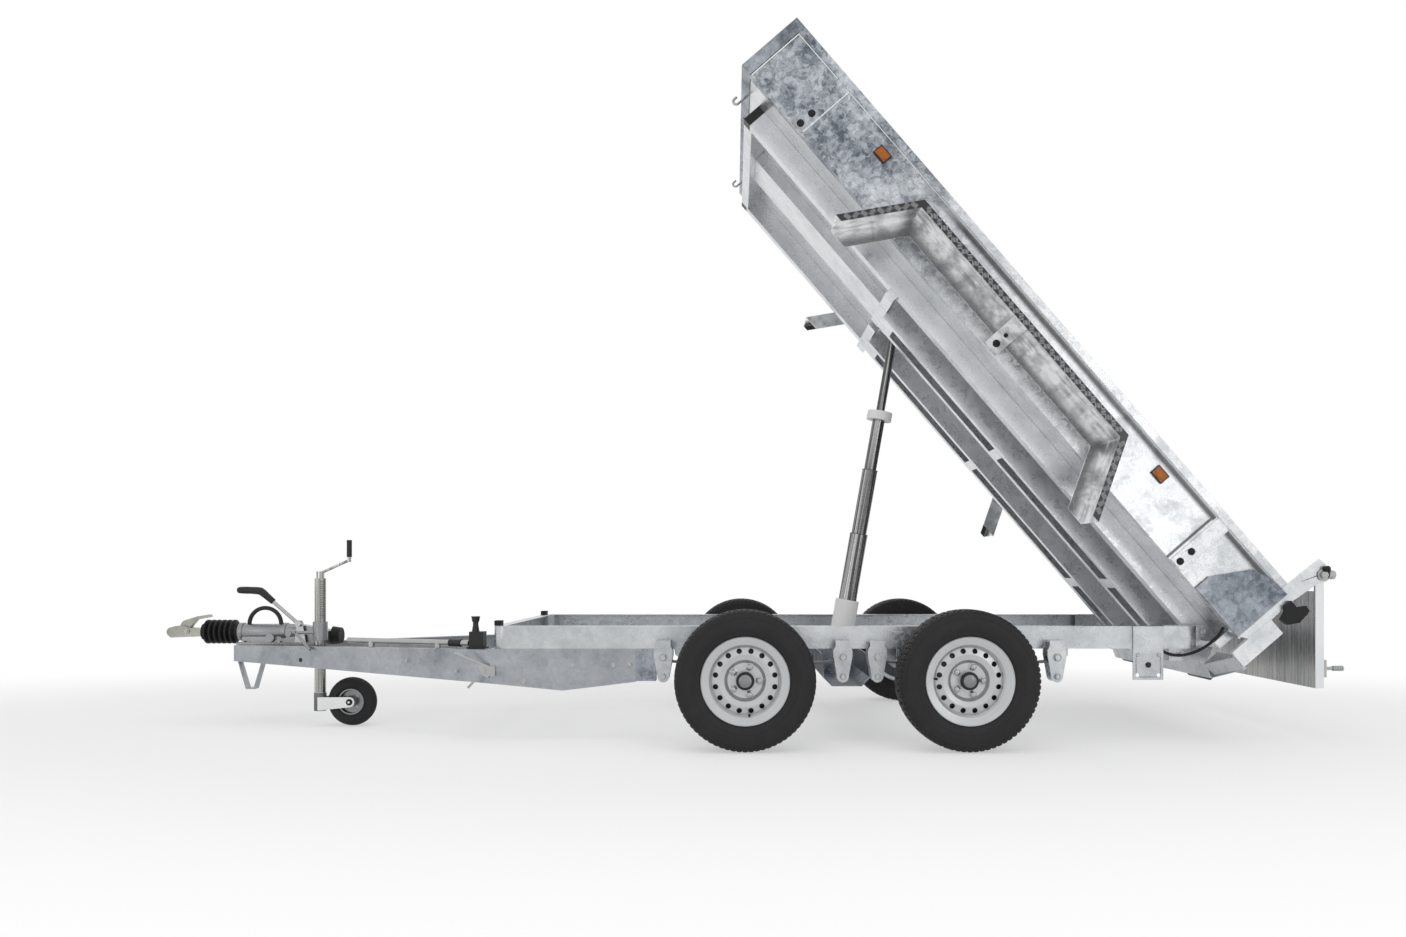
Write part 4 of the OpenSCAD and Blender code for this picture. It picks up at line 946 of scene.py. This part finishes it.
axleNuts, forkCollar, postMarks, rimBolts = jockeyShapes(jockeyDetail)
makePiece("jockeyAxleNuts", axleNuts, "black_plastic", "jockey_fork")
makePiece("forkCollar", forkCollar, "cast", "jockey_fork", look="forkHead")
makePiece("postMarks", postMarks, "cast", "jockey_leg", look="forkHead")
makePiece("jockeyRimBolts", rimBolts, "bright_steel", "jockey_wheel")
print("jockey wheel details made")

# bed: plug domes, lamp frames and lenses, bracket bolts, fold beads in a brighter zinc than the sheet as
# painted highlights, as (behind the hinge, above it)
bedDetail = {
    "side": 0.811, "posts": (-3.010, -0.366), "plugHeights": (0.084, 0.152), "plugFace": 0.821,
    "plugRadius": 0.0145,
    "markers": (-2.658, -0.726), "markerMiddle": 0.274, "markerHalf": (0.032, 0.022), "markerOut": 0.821,
    "markerRim": 0.004, "markerLap": 0.001, "markerProud": 0.0012, "markerTrim": 0.0012,
    "markerFill": (0.94, 0.92),
    "markerDome": [(1.0, -0.001), (0.97, 0.0012), (0.8, 0.0026), (0.45, 0.0036), (0.0, 0.0040)],
    "bracketBolts": [(-1.687, 0.098), (-1.644, 0.098)], "bracketFace": 0.8165, "bracketShank": 0.0062,
    "strut": [(0.858, 0.0877, 0.0088), (0.910, 0.1261, 0.0052)], "strutMiddle": -1.6655,
    "strutAxis": (0.592, -0.806),
    # beads along the folds: real fold shapes, given a brighter zinc than the sheet as painted highlights
    "beads": [((-3.324, 0.347), (-3.052, 0.347)), ((-2.970, 0.347), (-0.408, 0.347)),
              ((-0.326, 0.347), (0.030, 0.347)), ((-3.324, 0.060), (-3.324, 0.345)),
              ((-2.974, 0.066), (-2.974, 0.345)), ((-0.330, 0.066), (-0.330, 0.345))],
    "beadRadius": 0.0042, "beadFace": 0.8112,
    "slots": {"plugDomes": "rubber", "lampFrames": "black_plastic", "bracketBolts": "bright_steel",
              "amberLenses": "amber_lens", "redLenses": "red_lens", "foldHighlightBeads": "galvanised"},
    "looks": {"foldHighlightBeads": "brightZinc"},
}
tailLamp = {
    "rear": 0.227, "inner": 0.330, "outer": 0.560, "low": -0.092, "top": -0.018,
    "border": 0.006, "amberEnd": 0.078, "redStart": 0.084, "lensSink": 0.002, "lensRise": 0.004,
    "frameDepth": 0.021, "frameRise": 0.001, "frameLap": 0.002, "lensTrim": 0.0018, "frameTrim": 0.0015,
}
outlineLamp = {
    "place": (0.1825, 0.336), "middle": 0.840, "lean": 8, "half": (0.0115, 0.024),
    "dome": [(1.0, -0.010), (1.0, 0.0015), (0.82, 0.0042), (0.45, 0.0058), (0.0, 0.0064)],
}


def addAcross(shape, side, low, high, trim):
    # block given for the right side, mirrored for the left
    a, c = sorted((side * low[1], side * high[1]))
    addBox(shape, (low[0], a, low[2]), (high[0], c, high[2]), None, trim)


def addMarker(made, b, back, side):
    wide, high = b["markerHalf"]
    z, rim, lap = b["markerMiddle"], b["markerRim"], b["markerLap"]
    outerWide, outerHigh = wide + rim, high + rim
    bars = (((-outerWide, -outerHigh), (outerWide, -high + lap)),
            ((-outerWide, high - lap), (outerWide, outerHigh)),
            ((-outerWide, -high), (-wide + lap, high)),
            ((wide - lap, -high), (outerWide, high)))
    for low, top in bars:
        foot = (back + low[0], b["side"], z + low[1])
        head = (back + top[0], b["markerOut"] + b["markerProud"], z + top[1])
        addAcross(made["lampFrames"], side, foot, head, b["markerTrim"])
    fill = Matrix.Diagonal((wide * b["markerFill"][0], 1, high * b["markerFill"][1], 1))
    place = Matrix.Translation((back, side * b["markerOut"], z)) @ fill @ turned((0, 0, 0), (0, side, 0))
    addLathe(made["amberLenses"], place, b["markerDome"], 40)


def addTailLamp(made, t, side):
    inner, outer, low, top, border = t["inner"], t["outer"], t["low"], t["top"], t["border"]
    lenses = (("amberLenses", inner + border, inner + t["amberEnd"]),
              ("redLenses", inner + t["redStart"], outer - border))
    for label, first, last in lenses:
        foot = (t["rear"] - t["lensSink"], first, low + border)
        head = (t["rear"] + t["lensRise"], last, top - border)
        addAcross(made[label], side, foot, head, t["lensTrim"])
    back, front, lap = t["rear"] - t["frameDepth"], t["rear"] + t["frameRise"], t["frameLap"]
    bars = ((inner - border, outer + border, low - border, low + lap),
            (inner - border, outer + border, top - lap, top + border),
            (inner - border, inner + border, low, top),
            (outer - border, outer + border, low, top))
    for first, last, under, over in bars:
        addAcross(made["lampFrames"], side, (back, first, under), (front, last, over), t["frameTrim"])


def addOutlineLens(made, o, side):
    back, up = o["place"]
    lean = Matrix.Rotation(math.radians(o["lean"]), 4, "Y")
    place = Matrix.Translation((back, side * o["middle"], up)) @ lean
    place = place @ Matrix.Diagonal((1, *o["half"], 1)) @ turned((0, 0, 0), (1, 0, 0))
    addLathe(made["redLenses"], place, o["dome"], 32)


def bedShapes(b):
    made = {label: bmesh.new() for label in b["slots"]}
    r = b["plugRadius"]
    dome = [(r * 1.1, -0.001), (r * 1.1, 0.001), (r * 0.95, 0.0036), (r * 0.66, 0.0062), (r * 0.3, 0.0074),
            (0.0, 0.0076)]
    for side in (-1, 1):
        for back in b["posts"]:
            for up in b["plugHeights"]:
                addLathe(made["plugDomes"], turned((back, side * b["plugFace"], up), (0, side, 0)), dome)
        for back in b["markers"]:
            addMarker(made, b, back, side)
        boltSide(made["bracketBolts"], b["bracketBolts"], b["bracketFace"], side, b["bracketShank"])
        slant = (0, side * b["strutAxis"][0], b["strutAxis"][1])
        for y, up, shank in b["strut"]:
            addBolt(made["plugDomes"], (b["strutMiddle"], side * y, up), slant, shank)
        # bright beads along the folds: painted highlights
        for bead in b["beads"]:
            route = [(back, side * b["beadFace"], up) for back, up in bead]
            addTube(made["foldHighlightBeads"], route, b["beadRadius"], 16)
        addTailLamp(made, tailLamp, side)
        addOutlineLens(made, outlineLamp, side)
    return made


for label, shape in bedShapes(bedDetail).items():
    makePiece(label, shape, bedDetail["slots"][label], "bed", bedPlace, look=bedDetail["looks"].get(label))

# tailgate: pivot washers and nuts, a domed cap behind the pivot, black stop, ribbed latch grips
gateDetail = {
    "pivot": (2.7818, 0.7798), "pinEnd": 0.835,
    "washer": [(0.0, -0.004), (0.027, -0.004), (0.027, 0.0), (0.0255, 0.0015), (0.0, 0.0015)],
    "nut": [(0.0, 0.0015), (0.0185, 0.0015), (0.0185, 0.012), (0.0155, 0.015), (0.0, 0.015)],
    "cap": (2.800, 0.7815), "capMiddle": 0.840, "capAxis": (1, 0, -0.1),
    "capRadius": 0.021, "capLength": 0.030,
    "stop": (2.792, 0.806), "stopMiddle": 0.839, "stopAxis": (1, 0, 0.12),
    "stopOutline": [(0.0, -0.014), (0.0125, -0.013), (0.0145, -0.008), (0.0145, 0.008), (0.0125, 0.013),
                    (0.0, 0.014)],
    "latchSpan": (2.852, 2.902), "latchY": 0.777, "latchHeight": 0.350, "gripRadius": 0.0125, "ribs": 5,
}


def capOutline(g):
    r, l = g["capRadius"], g["capLength"]
    return [(0.0, 0.0), (r * 0.7, 0.0), (r * 0.75, 0.004), (r, 0.010), (r, l * 0.6), (r * 0.86, l * 0.85),
            (r * 0.5, l), (0.0, l * 1.04)]


def latchOutline(g):
    long, r = g["latchSpan"][1] - g["latchSpan"][0], g["gripRadius"]
    outline = [(0.0, 0.0), (r * 0.8, 0.0)]
    b = long / g["ribs"]
    for i in range(g["ribs"]):
        a = long * i / g["ribs"]
        outline += [(r * 0.8, a + b * 0.1), (r, a + b * 0.25), (r, a + b * 0.7), (r * 0.8, a + b * 0.85)]
    return outline + [(r * 0.7, long), (0.0, long)]


def gateShapes(g):
    metal, black = bmesh.new(), bmesh.new()
    for side in (-1, 1):
        pivot = turned((g["pivot"][0], side * g["pinEnd"], g["pivot"][1]), (0, side, 0))
        addLathe(metal, pivot, g["washer"], 32)
        addLathe(metal, pivot, g["nut"], 6)
        cap = turned((g["cap"][0], side * g["capMiddle"], g["cap"][1]), g["capAxis"])
        addLathe(metal, cap, capOutline(g), 28)
        stop = turned((g["stop"][0], side * g["stopMiddle"], g["stop"][1]), g["stopAxis"])
        addLathe(black, stop, g["stopOutline"], 24)
        latch = turned((g["latchSpan"][0], side * g["latchY"], g["latchHeight"]), (1, 0, 0))
        addLathe(metal, latch, latchOutline(g), 20)
    return metal, black


gateMetal, gateBlack = gateShapes(gateDetail)
makePiece("gateHardware", gateMetal, "bright_steel", "tailgate")
makePiece("gateStops", gateBlack, "rubber", "tailgate")
print("bed and tailgate details made")

# lips on the ends of the cylinder's tubes, as (top, radius)
cylinderLips = {
    "tops": {"cylinder_stage_1": (0.664, 0.0475), "cylinder_stage_2": (1.010, 0.040)},
    "wall": 0.006, "drop": 0.003, "rise": 0.0012, "proud": 0.0016,
}


def lipShape(c, top, radius):
    shape = bmesh.new()
    hole, proud, rise, drop = radius - c["wall"], radius + c["proud"], c["rise"], c["drop"]
    outline = [(hole, -drop), (radius + 0.0002, -drop), (proud, -0.0022), (proud, 0.0),
               (radius + 0.0004, rise), (hole, rise)]
    addLathe(shape, cylinderPlace @ Matrix.Translation((0, 0, top)), outline, 48, True)
    return shape


for stage, (top, radius) in cylinderLips["tops"].items():
    makePiece("lip_" + stage, lipShape(cylinderLips, top, radius), "spring_steel", stage)
print("cylinder lips made")


# studio: pale floor that fades to the white surroundings, soft lamps and two narrow strips
studio = {
    "floor": (0.93, 0.93, 0.93), "floorRough": 0.9, "span": 60.0,
    "fadeFrom": 1.6, "fadeTo": 3.9, "stretch": (0.55, 1.0, 1.0), "nearShare": 0.45, "skyLight": 0.42,
    "lamps": {  # place, aim, size, power, seen in metal
        "above": ((0.0, -1.0, 7.5), (0.2, 0, 0.8), (10, 8), 215, False),
        "nearSide": ((-3.2, -8.0, 4.6), (0.2, 0, 1.2), (9, 7), 170, False),
        "tail": ((5.6, -7.5, 3.6), (1.5, 0, 1.0), (6, 6), 95, False),
        "strip": ((3.6, -5.2, 2.2), (0.8, 0, 1.0), (0.4, 3.6), 12, True),
        "frontStrip": ((-4.4, -4.6, 1.6), (-2.0, 0, 0.5), (0.4, 2.6), 8, True),
    },
}


def raysSeen(wire):
    # 1 for what the camera sees, directly or in metal and glass
    kinds = ("Camera", "Glossy", "Transmission")
    rays = [wire.node("ShaderNodeLightPath", {}, {}, "Is %s Ray" % kind) for kind in kinds]
    return wire.maths("MINIMUM", rays[0] + rays[1] + rays[2], 1.0)


def floorFinish(s):
    made, shader, at = startFinish("floorPaint")
    feed(shader, "Base Color", (*s["floor"], 1))
    feed(shader, "Roughness", s["floorRough"])
    oval = stretched(at, s["stretch"])
    away = at.node("ShaderNodeVectorMath", {"operation": "LENGTH"}, {0: oval}, "Value")
    fade = {"Value": away, "From Min": s["fadeFrom"], "From Max": s["fadeTo"], "To Min": s["nearShare"]}
    far = at.node("ShaderNodeMapRange", {"interpolation_type": "SMOOTHSTEP"}, fade)
    white = at.node("ShaderNodeEmission", {}, {"Color": (1, 1, 1, 1), "Strength": 1.0})
    seen = at.node("ShaderNodeMixShader", {}, {0: far * raysSeen(at), 1: Wire(shader.outputs[0]), 2: white})
    feed(made.node_tree.nodes["Material Output"], "Surface", seen)
    return made


def makeFloor(s):
    shape = bmesh.new()
    bmesh.ops.create_grid(shape, x_segments=1, y_segments=1, size=s["span"])
    mesh = bpy.data.meshes.new("floor")
    shape.to_mesh(mesh)
    shape.free()
    floor = bpy.data.objects.new("floor", mesh)
    scene.collection.objects.link(floor)
    mesh.materials.append(floorFinish(s))


def makeSurroundings(s):
    world = bpy.data.worlds.new("surroundings")
    scene.world = world
    world.use_nodes = True
    ground = world.node_tree.nodes["Background"]
    seen = raysSeen(Wire(ground.outputs[0]))
    feed(ground, "Strength", seen * (1 - s["skyLight"]) + s["skyLight"])
    feed(ground, "Color", (1, 1, 1, 1))


def hangLamp(name, place, aim, size, power, glints):
    data = bpy.data.lights.new(name, "AREA")
    data.shape = "RECTANGLE"
    data.size, data.size_y = size
    data.energy = power
    lamp = bpy.data.objects.new(name, data)
    lamp.location = place
    lamp.visible_glossy = glints
    lamp.rotation_euler = (Vector(aim) - Vector(place)).to_track_quat("-Z", "Y").to_euler()
    scene.collection.objects.link(lamp)


makeFloor(studio)
makeSurroundings(studio)
for lampName, lampValues in studio["lamps"].items():
    hangLamp(lampName, *lampValues)
print("studio made")

bpy.context.view_layer.update()
